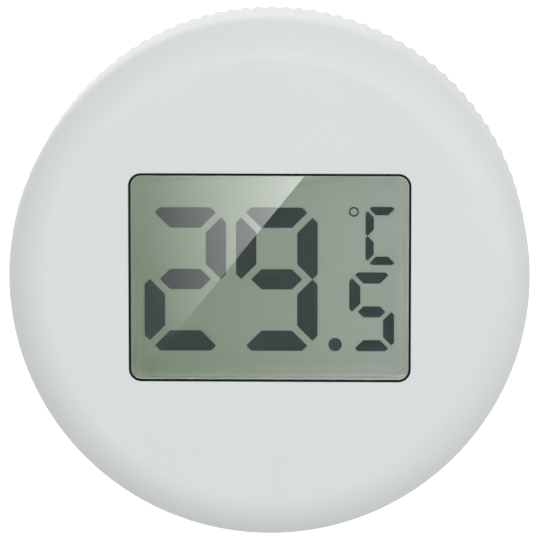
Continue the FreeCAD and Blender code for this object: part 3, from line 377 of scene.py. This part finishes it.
def make_piece(name, parts, smooth_below=SMOOTH_BELOW):
    """One object out of several closed surfaces given in millimetres."""
    points = []
    faces = []
    for part_points, part_faces in parts:
        offset = len(points)
        points += [tuple(value * MM for value in point) for point in part_points]
        faces += [tuple(offset + corner for corner in face) for face in part_faces]
    mesh = bpy.data.meshes.new(name)
    mesh.from_pydata(points, [], faces)
    shape = bmesh.new()
    shape.from_mesh(mesh)
    bmesh.ops.recalc_face_normals(shape, faces=shape.faces)
    shape.to_mesh(mesh)
    shape.free()
    mesh.shade_smooth()
    mesh.set_sharp_from_angle(angle=math.radians(smooth_below))
    piece = bpy.data.objects.new(name, mesh)
    bpy.context.scene.collection.objects.link(piece)
    return piece


class Tree:
    """A node tree of a material or of the world, and short ways to add nodes to it."""

    def __init__(self, owner):
        owner.use_nodes = True
        self.nodes = owner.node_tree.nodes
        self.links = owner.node_tree.links

    def add(self, kind, **settings):
        node = self.nodes.new(kind)
        for key, value in settings.items():
            setattr(node, key, value)
        return node

    def join(self, source, target):
        self.links.new(source, target)

    def feed(self, socket, value):
        """Gives a socket a number, a colour or the output of another node."""
        if isinstance(value, tuple):
            socket.default_value = (*value, 1)
        elif isinstance(value, (int, float)):
            socket.default_value = value
        else:
            self.join(value, socket)

    def spread(self, source, low, high, from_low=0.3, from_high=0.7, clamp=True):
        """A value that runs between two limits as the source runs between its own."""
        node = self.add("ShaderNodeMapRange", clamp=clamp)
        node.inputs["From Min"].default_value = from_low
        node.inputs["From Max"].default_value = from_high
        node.inputs["To Min"].default_value = low
        node.inputs["To Max"].default_value = high
        self.join(source, node.inputs["Value"])
        return node.outputs["Result"]

    def sum_up(self, operation, first, second):
        """One sum with two values, each a number or a socket."""
        node = self.add("ShaderNodeMath", operation=operation)
        for socket, value in zip(node.inputs, (first, second)):
            self.feed(socket, value)
        return node.outputs["Value"]

    def rays(self, *kinds):
        """One for light rays of the kinds named, and zero for the rest."""
        path = self.add("ShaderNodeLightPath")
        total = path.outputs[kinds[0]]
        for kind in kinds[1:]:
            total = self.sum_up("MAXIMUM", total, path.outputs[kind])
        return total


class Finish(Tree):
    """A material whose nodes follow the place on the piece."""

    def __init__(self, name):
        self.material = bpy.data.materials.new(name)
        super().__init__(self.material)
        self.shader = self.nodes["Principled BSDF"]
        self.output = self.nodes["Material Output"]
        self.place = self.add("ShaderNodeTexCoord").outputs["Object"]

    def axes(self):
        """The three coordinates of the place on the piece."""
        node = self.add("ShaderNodeSeparateXYZ")
        self.join(self.place, node.inputs["Vector"])
        return node.outputs

    def noise(self, size_mm, detail=2.0, stretch=None):
        """A noise whose grains have about this size."""
        node = self.add("ShaderNodeTexNoise")
        node.inputs["Scale"].default_value = 1 / (size_mm * MM)
        node.inputs["Detail"].default_value = detail
        place = self.place
        if stretch is not None:
            mapping = self.add("ShaderNodeMapping")
            mapping.inputs["Scale"].default_value = stretch
            self.join(place, mapping.inputs["Vector"])
            place = mapping.outputs["Vector"]
        self.join(place, node.inputs["Vector"])
        return node.outputs["Fac"]

    def blend(self, factor, first, second):
        """A colour between two others."""
        node = self.add("ShaderNodeMix", data_type="RGBA")
        colours = [entry for entry in node.inputs if entry.type == "RGBA"]
        for socket, value in zip(colours, (first, second)):
            self.feed(socket, value)
        self.join(factor, node.inputs["Factor"])
        return [entry for entry in node.outputs if entry.type == "RGBA"][0]

    def relief(self, source, strength, distance_mm, under=None):
        """A bump of this height from a noise, over another bump if one is given."""
        node = self.add("ShaderNodeBump")
        node.inputs["Strength"].default_value = strength
        node.inputs["Distance"].default_value = distance_mm * MM
        self.join(source, node.inputs["Height"])
        if under is not None:
            self.join(under, node.inputs["Normal"])
        return node.outputs["Normal"]

    def glow_only(self, colour, strength):
        """Makes the material shine by itself and show nothing else."""
        node = self.add("ShaderNodeEmission")
        self.feed(node.inputs["Color"], colour)
        self.feed(node.inputs["Strength"], strength)
        self.join(node.outputs["Emission"], self.output.inputs["Surface"])

    def colour(self, source):
        self.join(source, self.shader.inputs["Base Color"])

    def roughness(self, source):
        self.join(source, self.shader.inputs["Roughness"])

    def normal(self, source):
        self.join(source, self.shader.inputs["Normal"])

    def setting(self, name, value):
        self.shader.inputs[name].default_value = value


def tint(colour, factor):
    return tuple(min(value * factor, 1.0) for value in colour)


def plain_finish(name, colour, roughness, grain_mm, relief_mm, spread=0.05, cloud_mm=6.0, metallic=0.0):
    """A moulded, drawn or coated surface: soft clouds of colour, fine grain in gloss and relief."""
    finish = Finish(name)
    clouds = finish.spread(finish.noise(cloud_mm, detail=3), 0, 1)
    finish.colour(finish.blend(clouds, tint(colour, 1 - spread), tint(colour, 1 + spread)))
    grain = finish.noise(grain_mm, detail=4)
    finish.roughness(finish.spread(grain, roughness * 0.85, roughness * 1.15))
    finish.normal(finish.relief(grain, strength=0.3, distance_mm=relief_mm))
    finish.setting("Metallic", metallic)
    return finish


def housing_finish():
    """Cool white moulded plastic with a fine satin grain."""
    finish = Finish("housing_plastic")
    colour = (0.735, 0.763, 0.770)
    clouds = finish.spread(finish.noise(size_mm=9.0, detail=3), 0, 1)
    specks = finish.spread(finish.noise(size_mm=0.9, detail=2), 0, 0.5)
    base = finish.blend(clouds, tint(colour, 0.992), tint(colour, 1.008))
    finish.colour(finish.blend(specks, base, tint(colour, 0.985)))
    grain = finish.noise(size_mm=0.11, detail=3)
    finish.roughness(finish.spread(grain, low=0.33, high=0.43))
    sink = finish.relief(finish.noise(size_mm=14.0, detail=1), strength=0.05, distance_mm=0.05)
    finish.normal(finish.relief(grain, strength=0.10, distance_mm=0.004, under=sink))
    finish.setting("IOR", 1.49)
    return finish


def lens_finish(name, coat):
    """Polished clear acrylic, with or without the hard glossy coat of its front."""
    finish = Finish(name)
    finish.setting("Base Color", (1, 1, 1, 1))
    finish.setting("Transmission Weight", 1.0)
    finish.setting("IOR", LENS_IOR)
    finish.setting("Roughness", 0.0)
    finish.setting("Coat Weight", coat)
    finish.setting("Coat IOR", COAT_IOR)
    finish.setting("Coat Roughness", 0.0)
    waves = finish.noise(size_mm=11.0, detail=1)
    finish.normal(finish.relief(waves, strength=0.02, distance_mm=0.01))
    return finish


def film_finish(name, colour, roughness):
    """A thin clear layer: mostly see-through, with a faint tint and sheen of its own."""
    finish = plain_finish(name, colour, roughness, grain_mm=0.5, relief_mm=0.001, spread=0.02)
    finish.setting("Alpha", 0.006)
    return finish


def rubber_finish():
    """Matt black rubber."""
    finish = plain_finish("black_rubber", (0.006, 0.009, 0.006), 0.6, grain_mm=0.12, relief_mm=0.01)
    finish.setting("Specular IOR Level", 0.1)
    return finish


def segment_finish():
    """The dark matt green black of a switched segment."""
    colour = (0.079, 0.104, 0.101)
    finish = plain_finish(
        "display_segments", colour, 0.6, grain_mm=0.15, relief_mm=0.001, spread=0.03,
    )
    finish.setting("Specular IOR Level", 0.0)
    return finish


def display_ground_finish():
    """The display's ground: grey green, with painted shade that makes it greener and darker to the
    left, and painted light that lightens it along its borders against the shade of the window's walls.
    """
    finish = Finish("display_ground")
    axes = finish.axes()
    left = (WINDOW_SHIFT - WINDOW_HALF_WIDTH) * MM
    right = (WINDOW_SHIFT + WINDOW_HALF_WIDTH) * MM
    low = (WINDOW_LIFT - WINDOW_HALF_HEIGHT) * MM
    top = (WINDOW_LIFT + WINDOW_HALF_HEIGHT) * MM
    # painted shade: the ground grows darker and greener from its right border to its left one
    share = finish.sum_up("POWER", finish.spread(axes["X"], 0, 1, left, right), PAINTED_SHADE_CURVE)
    base = finish.blend(share, GROUND_SHADED_LEFT, GROUND_LIT_RIGHT)
    darker = finish.blend(share, tint(GROUND_SHADED_LEFT, GROUND_FIBRE), tint(GROUND_LIT_RIGHT, GROUND_FIBRE))
    fibres = finish.noise(size_mm=0.5, detail=3, stretch=(1, 1, 0.12))
    # painted light: the ground grows lighter towards each border of the window, where the window's
    # walls shade it
    border = PAINTED_LIGHT_BORDER * MM
    painted_light = None
    for axis, inside, edge, strength in (
        ("X", left + border, left, PAINTED_LIGHT_LEFT),
        ("X", right - border, right, PAINTED_LIGHT_RIGHT),
        ("Z", low + border, low, PAINTED_LIGHT_LOW),
        ("Z", top - border, top, PAINTED_LIGHT_TOP),
    ):
        near = finish.sum_up("POWER", finish.spread(axes[axis], 0, 1, inside, edge), PAINTED_LIGHT_FALL)
        factor = finish.sum_up("ADD", finish.sum_up("MULTIPLY", near, strength), 1.0)
        painted_light = factor if painted_light is None else finish.sum_up("MULTIPLY", painted_light, factor)
    ground = finish.add("ShaderNodeVectorMath", operation="SCALE")
    finish.join(finish.blend(finish.spread(fibres, 0, 1), base, darker), ground.inputs[0])
    finish.join(painted_light, ground.inputs["Scale"])
    finish.colour(ground.outputs["Vector"])
    finish.roughness(finish.spread(fibres, low=0.45, high=0.6))
    finish.normal(finish.relief(fibres, strength=0.1, distance_mm=0.002))
    return finish


def cup_finish():
    """Soft clear vinyl with a milky tone, which lets lamps shine on what lies behind it."""
    finish = Finish("cup_vinyl")
    clouds = finish.noise(size_mm=4.0, detail=3)
    milky = finish.blend(finish.spread(clouds, 0, 1), (0.90, 0.92, 0.93), (0.95, 0.97, 0.98))
    finish.colour(milky)
    finish.roughness(finish.spread(clouds, low=0.05, high=0.12))
    finish.normal(finish.relief(finish.noise(size_mm=2.5), strength=0.05, distance_mm=0.02))
    finish.setting("IOR", 1.45)
    finish.setting("Transmission Weight", 0.9)
    clear = finish.add("ShaderNodeBsdfTransparent")
    finish.feed(clear.inputs["Color"], (0.8, 0.82, 0.82))
    mix = finish.add("ShaderNodeMixShader")
    finish.join(finish.rays("Is Shadow Ray"), mix.inputs["Fac"])
    finish.join(finish.shader.outputs["BSDF"], mix.inputs[1])
    finish.join(clear.outputs["BSDF"], mix.inputs[2])
    finish.join(mix.outputs["Shader"], finish.output.inputs["Surface"])
    return finish


# The finish of each slot: a plain one has a colour, a roughness, its grain and the grain's relief
finishes = {
    "housing": housing_finish(),
    "clear_lens": lens_finish("clear_lens", coat=0.0),
    "lens_front": lens_finish("lens_front", coat=1.0),
    "black_rubber": rubber_finish(),
    "cup_rubber": cup_finish(),
    "polariser": film_finish("polariser_film", (0.25, 0.30, 0.25), 0.3),
    "display_glass": film_finish("display_glass", (0.25, 0.30, 0.27), 0.1),
    "display_ground": display_ground_finish(),
    "segments": segment_finish(),
    "reflector": plain_finish("reflector_foil", (0.42, 0.46, 0.42), 0.4, 0.15, 0.003),
    "inner_plastic": plain_finish("inner_plastic", (0.62, 0.62, 0.60), 0.5, 0.15, 0.006),
    "contact_rubber": plain_finish("contact_rubber", (0.32, 0.33, 0.36), 0.65, 0.12, 0.008),
    "board": plain_finish(
        "circuit_board", (0.02, 0.13, 0.05), 0.35, 0.4, 0.01, spread=0.15, cloud_mm=1.5,
    ),
    "screw_steel": plain_finish("screw_steel", (0.62, 0.62, 0.62), 0.3, 0.1, 0.003, metallic=1.0),
    "resin": plain_finish("black_resin", (0.01, 0.01, 0.012), 0.22, 1.2, 0.02, spread=0.2),
    "ceramic": plain_finish("ceramic_parts", (0.36, 0.27, 0.19), 0.5, 0.1, 0.004, spread=0.1),
    "dark_plastic": plain_finish("dark_plastic", (0.02, 0.02, 0.022), 0.45, 0.1, 0.005, spread=0.1),
    "button_plastic": plain_finish("button_plastic", (0.55, 0.10, 0.06), 0.45, 0.1, 0.004),
    "cell_steel": plain_finish("cell_steel", (0.66, 0.66, 0.65), 0.28, 0.2, 0.002, metallic=1.0),
    "spring_steel": plain_finish("spring_steel", (0.58, 0.58, 0.56), 0.3, 0.12, 0.002, metallic=1.0),
    "gold": plain_finish("gold_plating", (0.83, 0.60, 0.24), 0.25, 0.1, 0.002, metallic=1.0),
    "sensor_steel": plain_finish("sensor_steel", (0.60, 0.60, 0.59), 0.26, 0.15, 0.003, metallic=1.0),
    "bead_glass": plain_finish("bead_glass", (0.03, 0.03, 0.03), 0.15, 0.4, 0.01),
}

slot_of_node = {entry["node"]: entry["material_slot"] for entry in frame["record"]["subparts"]}
slot_of_node["lcd_rear_glass"] = "display_ground"
slot_of_node["lcd_edge_seal"] = "display_ground"

for node_name, node in frame["nodes"].items():
    for material_slot in node.material_slots:
        material_slot.material = finishes[slot_of_node[node_name]].material


def make_front():
    """The front shell: face, rounded edge, groove behind it and threaded sleeve in one skin."""
    angles = whole_round(FACE_POINTS)
    loops = [
        window_loop(angles, 0, FACE_INSIDE),
        window_loop(angles, 0, FACE - WINDOW_BEVEL - 2 * NEAR),
    ]
    for step in np.radians(np.linspace(0, 90, BEVEL_STEPS + 1)):
        loops.append(window_loop(
            angles,
            WINDOW_BEVEL * (1 - math.cos(step)),
            FACE - WINDOW_BEVEL + WINDOW_BEVEL * math.sin(step),
        ))
    loops.append(window_loop(angles, WINDOW_BEVEL + NEAR, FACE))
    corner = BODY_RADIUS - FACE_ROUNDING
    inner = window_loop(angles, WINDOW_BEVEL + FACE_MARGIN_INSIDE, FACE)
    outer = turned(angles, corner - FACE_MARGIN_OUTSIDE, FACE)
    for share in np.linspace(0, 1, FACE_LOOPS):
        loops.append(inner * (1 - share) + outer * share)
    profile = bend(corner, FACE - FACE_ROUNDING, FACE_ROUNDING, 90, 0, FACE_EDGE_STEPS)
    profile += [(BODY_RADIUS, SEAM + SEAM_BEVEL + SEAM_MARGIN)]
    profile += bend(BODY_RADIUS - SEAM_BEVEL, SEAM + SEAM_BEVEL, SEAM_BEVEL, 0, -90, BEVEL_STEPS)
    profile += [
        (BODY_RADIUS - SEAM_LAND, SEAM),
        (RIM_INSIDE, SEAM),
        (RIM_INSIDE, SHELL_GROOVE_TOP),
        (SLEEVE_RADIUS, SHELL_GROOVE_TOP),
        (SLEEVE_RADIUS, SLEEVE_END),
        (SLEEVE_BORE, SLEEVE_END),
        (SLEEVE_BORE, FACE_INSIDE),
    ]
    loops += [turned(angles, radius, level) for radius, level in profile]
    parts = [skin(loops)]
    lug_inside = SLEEVE_RADIUS - SLEEVE_LUG_ROOT
    lug_outside = SLEEVE_RADIUS + LUG_HEIGHT
    for start in whole_round(LUG_COUNT):
        parts.append(thread_lug(start, lug_inside, lug_outside, SLEEVE_LUG_BACK))
    root = FACE_INSIDE + ROOT_DEPTH
    boss_angles = whole_round(BOSS_POINTS)
    boss_profile = (
        (BOSS_HOLE, BOSS_END), (BOSS_RADIUS, BOSS_END), (BOSS_RADIUS, root), (BOSS_HOLE, root),
    )
    for direction in whole_round(BOSS_COUNT):
        shift = turned(np.array([direction]), BOSS_CIRCLE, 0)
        boss = [turned(boss_angles, radius, level) + shift for radius, level in boss_profile]
        parts.append(skin(boss))
    parts.append(box_between(
        (-KEY_HALF_WIDTH, KEY_END, KEY_INSIDE), (KEY_HALF_WIDTH, root, KEY_OUTSIDE),
    ))
    piece = make_piece("housing_front", parts)
    piece.data.materials.append(finishes["housing"].material)
    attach(piece, "front_unit")
    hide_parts("front_shell")


def make_lens():
    """The lens: a block that fills the window with a hair of air, and its flange behind the face."""
    angles = whole_round(FACE_POINTS)
    side = -(GASKET_LINE + LENS_AIR)
    corner = side - LENS_BEVEL
    edge = LENS_FRONT - LENS_BEVEL
    flange = LENS_FLANGE - GASKET_LINE
    shoulder = LENS_SHOULDER - LENS_AIR
    profile = [(corner - LENS_FACE_MARGIN, LENS_FRONT), (corner - NEAR, LENS_FRONT)]
    profile += bend(corner, edge, LENS_BEVEL, 90, 0, BEVEL_STEPS)
    profile += [
        (side, edge - 2 * NEAR),
        (side, shoulder),
        (flange, shoulder),
        (flange, LENS_BACK),
        (flange - LENS_BACK_MARGIN, LENS_BACK),
    ]
    loops = [window_loop(angles, grow, level) for grow, level in profile]
    piece = make_piece("lens_block", [skin(loops, closed=False)])
    piece.data.materials.append(finishes["clear_lens"].material)
    piece.data.materials.append(finishes["lens_front"].material)
    for polygon in piece.data.polygons:
        if -polygon.center.y > edge * MM:
            polygon.material_index = LENS_FRONT_SLOT
    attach(piece, "front_unit")
    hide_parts("display_lens")


def make_ring():
    """The locking ring: smooth band, grip ribs that run out forwards, rear lip and thread lugs."""
    angles = whole_round(RING_POINTS)
    valley = 0.5 + 0.5 * np.cos(RIB_COUNT * angles)

    def grip(radius, level):
        """The ribbed outline at a level: the valleys fade out over the ribs' length."""
        run = np.clip(1 - (level - RING_BACK) / RIB_LENGTH, 0, 1)
        floor = BODY_RADIUS - RIB_DEPTH * run * (RIB_LEAST + (1 - RIB_LEAST) * run) * valley
        gap = (radius - floor) / RIB_SOFTNESS
        cut = np.maximum(gap, 0) + np.log1p(np.exp(-abs(gap)))
        ribbed = radius - RIB_SOFTNESS * cut + RIB_SOFTNESS * math.log(2) * (1 - valley)
        return np.minimum(ribbed, radius)

    front = RING_FRONT - RING_FRONT_ROUNDING
    back = RING_BACK + RING_BACK_ROUNDING
    ribs_front = RING_BACK + RIB_LENGTH
    outside = bend(
        BODY_RADIUS - RING_FRONT_ROUNDING, front, RING_FRONT_ROUNDING, 90, 0, RING_FRONT_STEPS,
    )
    for level in np.linspace(front - BAND_MARGIN, ribs_front + BAND_MARGIN, BAND_LOOPS):
        outside.append((BODY_RADIUS, level))
    loops = [turned(angles, radius, level) for radius, level in outside]
    ribbed = [(BODY_RADIUS, level) for level in np.linspace(ribs_front, back, RIB_LOOPS)]
    ribbed += bend(
        BODY_RADIUS - RING_BACK_ROUNDING, back, RING_BACK_ROUNDING, 0, -90, RING_BACK_STEPS,
    )[1:]
    loops += [turned(angles, grip(radius, level), level) for radius, level in ribbed]
    snap = (RING_BACK + LIP_FRONT) / 2
    profile = [(RING_BACK_LAND, RING_BACK), (LIP_BORE + LIP_LAND, RING_BACK)]
    profile += bend(
        LIP_BORE + LIP_ROUNDING, RING_BACK + LIP_ROUNDING, LIP_ROUNDING, -90, -180, BEVEL_STEPS,
    )
    profile += [
        (LIP_BORE, snap - SNAP_HALF_WIDTH),
        (LIP_BORE + SNAP_DEPTH, snap),
        (LIP_BORE, snap + SNAP_HALF_WIDTH),
        (LIP_BORE, LIP_FRONT),
        (RING_BORE, LIP_FRONT),
        (RING_BORE, RING_FRONT),
    ]
    loops += [turned(angles, radius, level) for radius, level in profile]
    parts = [skin(loops)]
    lug_inside = RING_BORE - LUG_HEIGHT
    lug_outside = RING_BORE + RING_LUG_ROOT
    for start in whole_round(LUG_COUNT):
        parts.append(thread_lug(start, lug_inside, lug_outside, RING_LUG_BACK))
    piece = make_piece("grip_ring", parts)
    piece.data.materials.append(finishes["housing"].material)
    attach(piece, "locking_ring")
    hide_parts("locking_ring")


def make_cup():
    """The suction cup: knob, neck, root, dish and lip in one skin, with the tab drawn out of it."""
    even = whole_round(CUP_POINTS)
    fan = TAB_DIRECTION + np.radians(np.linspace(-TAB_FAN, TAB_FAN, TAB_FAN_POINTS))
    clear_of_fan = abs(even - TAB_DIRECTION) > math.radians(TAB_FAN + TAB_FAN_MARGIN)
    angles = np.unique(np.concatenate([even[clear_of_fan], fan]))
    off = angles - TAB_DIRECTION
    side = abs(TAB_CENTRE * np.sin(off))
    round_end = TAB_CENTRE * np.cos(off) + np.sqrt(np.maximum(TAB_HALF_WIDTH ** 2 - side ** 2, 0))
    straight = TAB_HALF_WIDTH / np.maximum(abs(np.sin(off)), SMALL)
    beside = np.where(abs(off) < TAB_REACH, straight, 0)
    lip = np.maximum(CUP_LIP_RADIUS, np.where(side < TAB_HALF_WIDTH, round_end, beside))
    pull = np.clip((lip - CUP_LIP_RADIUS) / TAB_EASE, 0, 1)

    knob = KNOB_RADIUS - KNOB_ROUNDING
    neck = NECK_RADIUS + NECK_ROUNDING
    top = [(CUP_AXIS_HOLE, KNOB_FRONT), (KNOB_LAND, KNOB_FRONT)]
    top += bend(knob, KNOB_FRONT - KNOB_ROUNDING, KNOB_ROUNDING, 90, 0, KNOB_STEPS)
    top += bend(knob, KNOB_BACK + KNOB_ROUNDING, KNOB_ROUNDING, 0, -90, KNOB_STEPS)
    top += [(KNOB_LAND, KNOB_BACK)]
    top += bend(neck, KNOB_BACK - NECK_ROUNDING, NECK_ROUNDING, 90, 180, NECK_STEPS)
    top += [(NECK_RADIUS, ROOT_FRONT + NECK_ROUNDING)]
    top += bend(neck, ROOT_FRONT + NECK_ROUNDING, NECK_ROUNDING, 180, 270, NECK_STEPS)
    top += [(ROOT_LAND, ROOT_FRONT)]
    top += bend(
        ROOT_RADIUS - ROOT_ROUNDING, ROOT_FRONT - ROOT_ROUNDING, ROOT_ROUNDING, 90, 0, ROOT_STEPS,
    )
    top += [(ROOT_RADIUS, ROOT_BACK)]
    for share in np.linspace(0, 1, DISH_LOOPS):
        bulge = DISH_BULGE * 4 * share * (1 - share)
        top.append((
            ROOT_RADIUS + DISH_RUN * share + bulge * DISH_OUTWARDS[0],
            DISH_START - DISH_DROP * share + bulge * DISH_OUTWARDS[1],
        ))
    loops = [turned(angles, radius, level) for radius, level in top]

    upper = CUP_LIP_THICKNESS + TAB_THICKER * pull
    lower = TAB_RAISE * pull
    half = (upper - lower) / 2
    for step in np.radians(np.linspace(90, -90, CUP_LIP_LOOPS)):
        radius = lip - CUP_LIP_ROUNDING + CUP_LIP_ROUNDING * math.cos(step)
        loops.append(turned(angles, radius, lower + half + half * math.sin(step)))
    loops += [turned(angles, radius, 0) for radius in CUP_LIP_LAND]
    dome = (CUP_LIP_INSIDE ** 2 + CUP_CAVITY ** 2) / (2 * CUP_CAVITY)
    for radius in np.linspace(CUP_LIP_INSIDE, CUP_AXIS_HOLE, CUP_CAVITY_LOOPS):
        level = CUP_CAVITY - dome + math.sqrt(dome ** 2 - radius ** 2)
        loops.append(turned(angles, radius, level))
    piece = make_piece("cup", [skin(loops, closed=False)], CUP_SMOOTH_BELOW)
    piece.data.materials.append(finishes["cup_rubber"].material)
    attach(piece, "suction_cup")
    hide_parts("suction_cup")


make_front()
make_lens()
make_ring()
make_cup()

# The camera
camera_place = CAMERA_TARGET + CAMERA_DISTANCE * Vector((
    math.sin(CAMERA_AZIMUTH) * math.cos(CAMERA_ELEVATION),
    -math.cos(CAMERA_AZIMUTH) * math.cos(CAMERA_ELEVATION),
    math.sin(CAMERA_ELEVATION),
))
optics = bpy.data.cameras.new("camera")
optics.lens = FOCAL_LENGTH
optics.sensor_width = SENSOR_WIDTH
optics.shift_x = SHIFT_RIGHT_PIXELS / PHOTO_WIDTH
optics.shift_y = SHIFT_UP_PIXELS / PHOTO_WIDTH
optics.clip_start = CAMERA_NEAR
optics.clip_end = CAMERA_FAR
camera = bpy.data.objects.new("camera", optics)
bpy.context.scene.collection.objects.link(camera)
camera.location = camera_place
camera.rotation_euler = (CAMERA_TARGET - camera_place).to_track_quat("-Z", "Y").to_euler()
bpy.context.scene.camera = camera
bpy.context.view_layer.update()

# The white surround, which lights the object less than it shows
world = bpy.data.worlds.new("studio")
bpy.context.scene.world = world
surround = Tree(world)
background = surround.nodes["Background"]
background.inputs["Color"].default_value = (1, 1, 1, 1)
seen = surround.rays("Is Camera Ray", "Is Glossy Ray", "Is Transmission Ray")
surround.join(surround.spread(seen, WORLD_LEVEL, 1.0, 0, 1), background.inputs["Strength"])

# The pale floor far below
floor_mesh = bpy.data.meshes.new("floor")
floor_mesh.from_pydata(
    [
        (-FLOOR_REACH, -FLOOR_REACH, FLOOR_HEIGHT),
        (FLOOR_REACH, -FLOOR_REACH, FLOOR_HEIGHT),
        (FLOOR_REACH, FLOOR_REACH, FLOOR_HEIGHT),
        (-FLOOR_REACH, FLOOR_REACH, FLOOR_HEIGHT),
    ],
    [], [(0, 1, 2, 3)],
)
floor = bpy.data.objects.new("floor", floor_mesh)
bpy.context.scene.collection.objects.link(floor)
paper = Finish("floor_paper")
paper_clouds = paper.spread(paper.noise(size_mm=40, detail=3), 0, 1)
paper.colour(paper.blend(paper_clouds, FLOOR_DARKER, FLOOR_PALER))
paper.setting("Roughness", 0.9)
paper.setting("Specular IOR Level", 0.0)
seen = paper.spread(paper.rays("Is Camera Ray", "Is Transmission Ray"), 0, FLOOR_GLOW, 0, 1)
mirrored = paper.spread(paper.rays("Is Glossy Ray"), 0, FLOOR_GLOW_MIRRORED, 0, 1)
glow = paper.sum_up("MAXIMUM", seen, mirrored)
paper.setting("Emission Color", (1, 1, 1, 1))
paper.join(glow, paper.shader.inputs["Emission Strength"])
floor_mesh.materials.append(paper.material)

# The soft lamps, all turned towards the object and unseen themselves
for name, place, power in LAMPS:
    light = bpy.data.lights.new(name, "AREA")
    light.shape = "RECTANGLE"
    light.size = LAMP_WIDTH
    light.size_y = LAMP_HEIGHT
    light.energy = power
    lamp = bpy.data.objects.new(name, light)
    bpy.context.scene.collection.objects.link(lamp)
    lamp.location = place
    lamp.rotation_euler = (-Vector(place)).to_track_quat("-Z", "Y").to_euler()
    lamp.visible_camera = False


def on_lens(pixel):
    """The point of the lens's front plane that the photograph shows at a pixel."""
    width = SENSOR_WIDTH / FOCAL_LENGTH
    across = (pixel[0] / PHOTO_WIDTH - 0.5 + optics.shift_x) * width
    up = (0.5 - pixel[1] / PHOTO_HEIGHT + optics.shift_y) * width
    direction = camera.matrix_world.to_3x3() @ Vector((across, up, -1))
    return camera_place + direction * ((LENS_PLANE - camera_place.y) / direction.y)


def on_card(pixel, distance):
    """The point at a distance in front of the lens that it mirrors at a pixel of the photograph."""
    point = on_lens(pixel)
    mirrored = Vector((camera_place.x, 2 * LENS_PLANE - camera_place.y, camera_place.z))
    ray = point - mirrored
    return point + ray * (distance / -ray.y)


def add_card(finish, corners, distance):
    """A card that only mirrored rays see, its corners given as pixels of the photograph."""
    name = finish.material.name
    mesh = bpy.data.meshes.new(name)
    points = [on_card(corner, distance) for corner in corners]
    mesh.from_pydata(points, [], [tuple(range(len(corners)))])
    mesh.materials.append(finish.material)
    card = bpy.data.objects.new(name, mesh)
    bpy.context.scene.collection.objects.link(card)
    card.visible_camera = False
    card.visible_diffuse = False
    card.visible_transmission = False
    card.visible_shadow = False
    return card


def add_dark_card():
    """The dark room that the lens mirrors beside the gloss, at its front and at its back."""
    finish = Finish("dark_card")
    finish.glow_only((0, 0, 0), 0.0)
    corners = [
        (DARK_CARD_LEFT, DARK_CARD_TOP),
        (DARK_CARD_RIGHT, DARK_CARD_TOP),
        (DARK_CARD_RIGHT, DARK_CARD_LOW),
        (DARK_CARD_LEFT, DARK_CARD_LOW),
    ]
    card = add_card(finish, corners, DARK_CARD_DISTANCE)
    card.visible_transmission = True


def add_gloss_card():
    """The bright card whose reflection is the gloss, brighter to the right and darker downwards.

    Its straight edge crosses the lens from the top to the lower left.
    """
    left, top = GLOSS_START_PIXEL
    start = on_card((left, top), GLOSS_CARD_DISTANCE)
    right = on_card((left + GLOSS_STEP_PIXELS, top), GLOSS_CARD_DISTANCE) - start
    down = on_card((left, top + GLOSS_STEP_PIXELS), GLOSS_CARD_DISTANCE) - start
    finish = Finish("gloss_card")
    axes = finish.axes()
    last_right = start.x + right.x * GLOSS_STEPS
    steps = finish.spread(axes["X"], 0, GLOSS_STEPS, start.x, last_right)
    across = finish.sum_up("MULTIPLY", finish.sum_up("POWER", steps, GLOSS_CURVE), GLOSS_PER_STEP_RIGHT)
    last_down = start.z + down.z * GLOSS_STEPS
    fall = GLOSS_PER_STEP_DOWN * GLOSS_STEPS
    along = finish.spread(axes["Z"], 0, fall, start.z, last_down, clamp=False)
    share = finish.sum_up("ADD", finish.sum_up("ADD", across, along), GLOSS_START)
    share = finish.sum_up("MAXIMUM", share, GLOSS_LEAST)
    finish.glow_only(GLOSS_COLOUR, finish.sum_up("DIVIDE", share, LENS_REFLECTANCE))
    edge = Vector(GLOSS_EDGE_LOW) - Vector(GLOSS_EDGE_TOP)
    first = Vector(GLOSS_EDGE_TOP) - edge * GLOSS_EDGE_BEFORE
    last = Vector(GLOSS_EDGE_TOP) + edge * GLOSS_EDGE_AFTER
    corners = [first, (GLOSS_LEFT_PIXEL, first.y), (GLOSS_LEFT_PIXEL, last.y), last]
    add_card(finish, corners, GLOSS_CARD_DISTANCE)


add_dark_card()
add_gloss_card()

bpy.context.scene.view_settings.view_transform = "Standard"
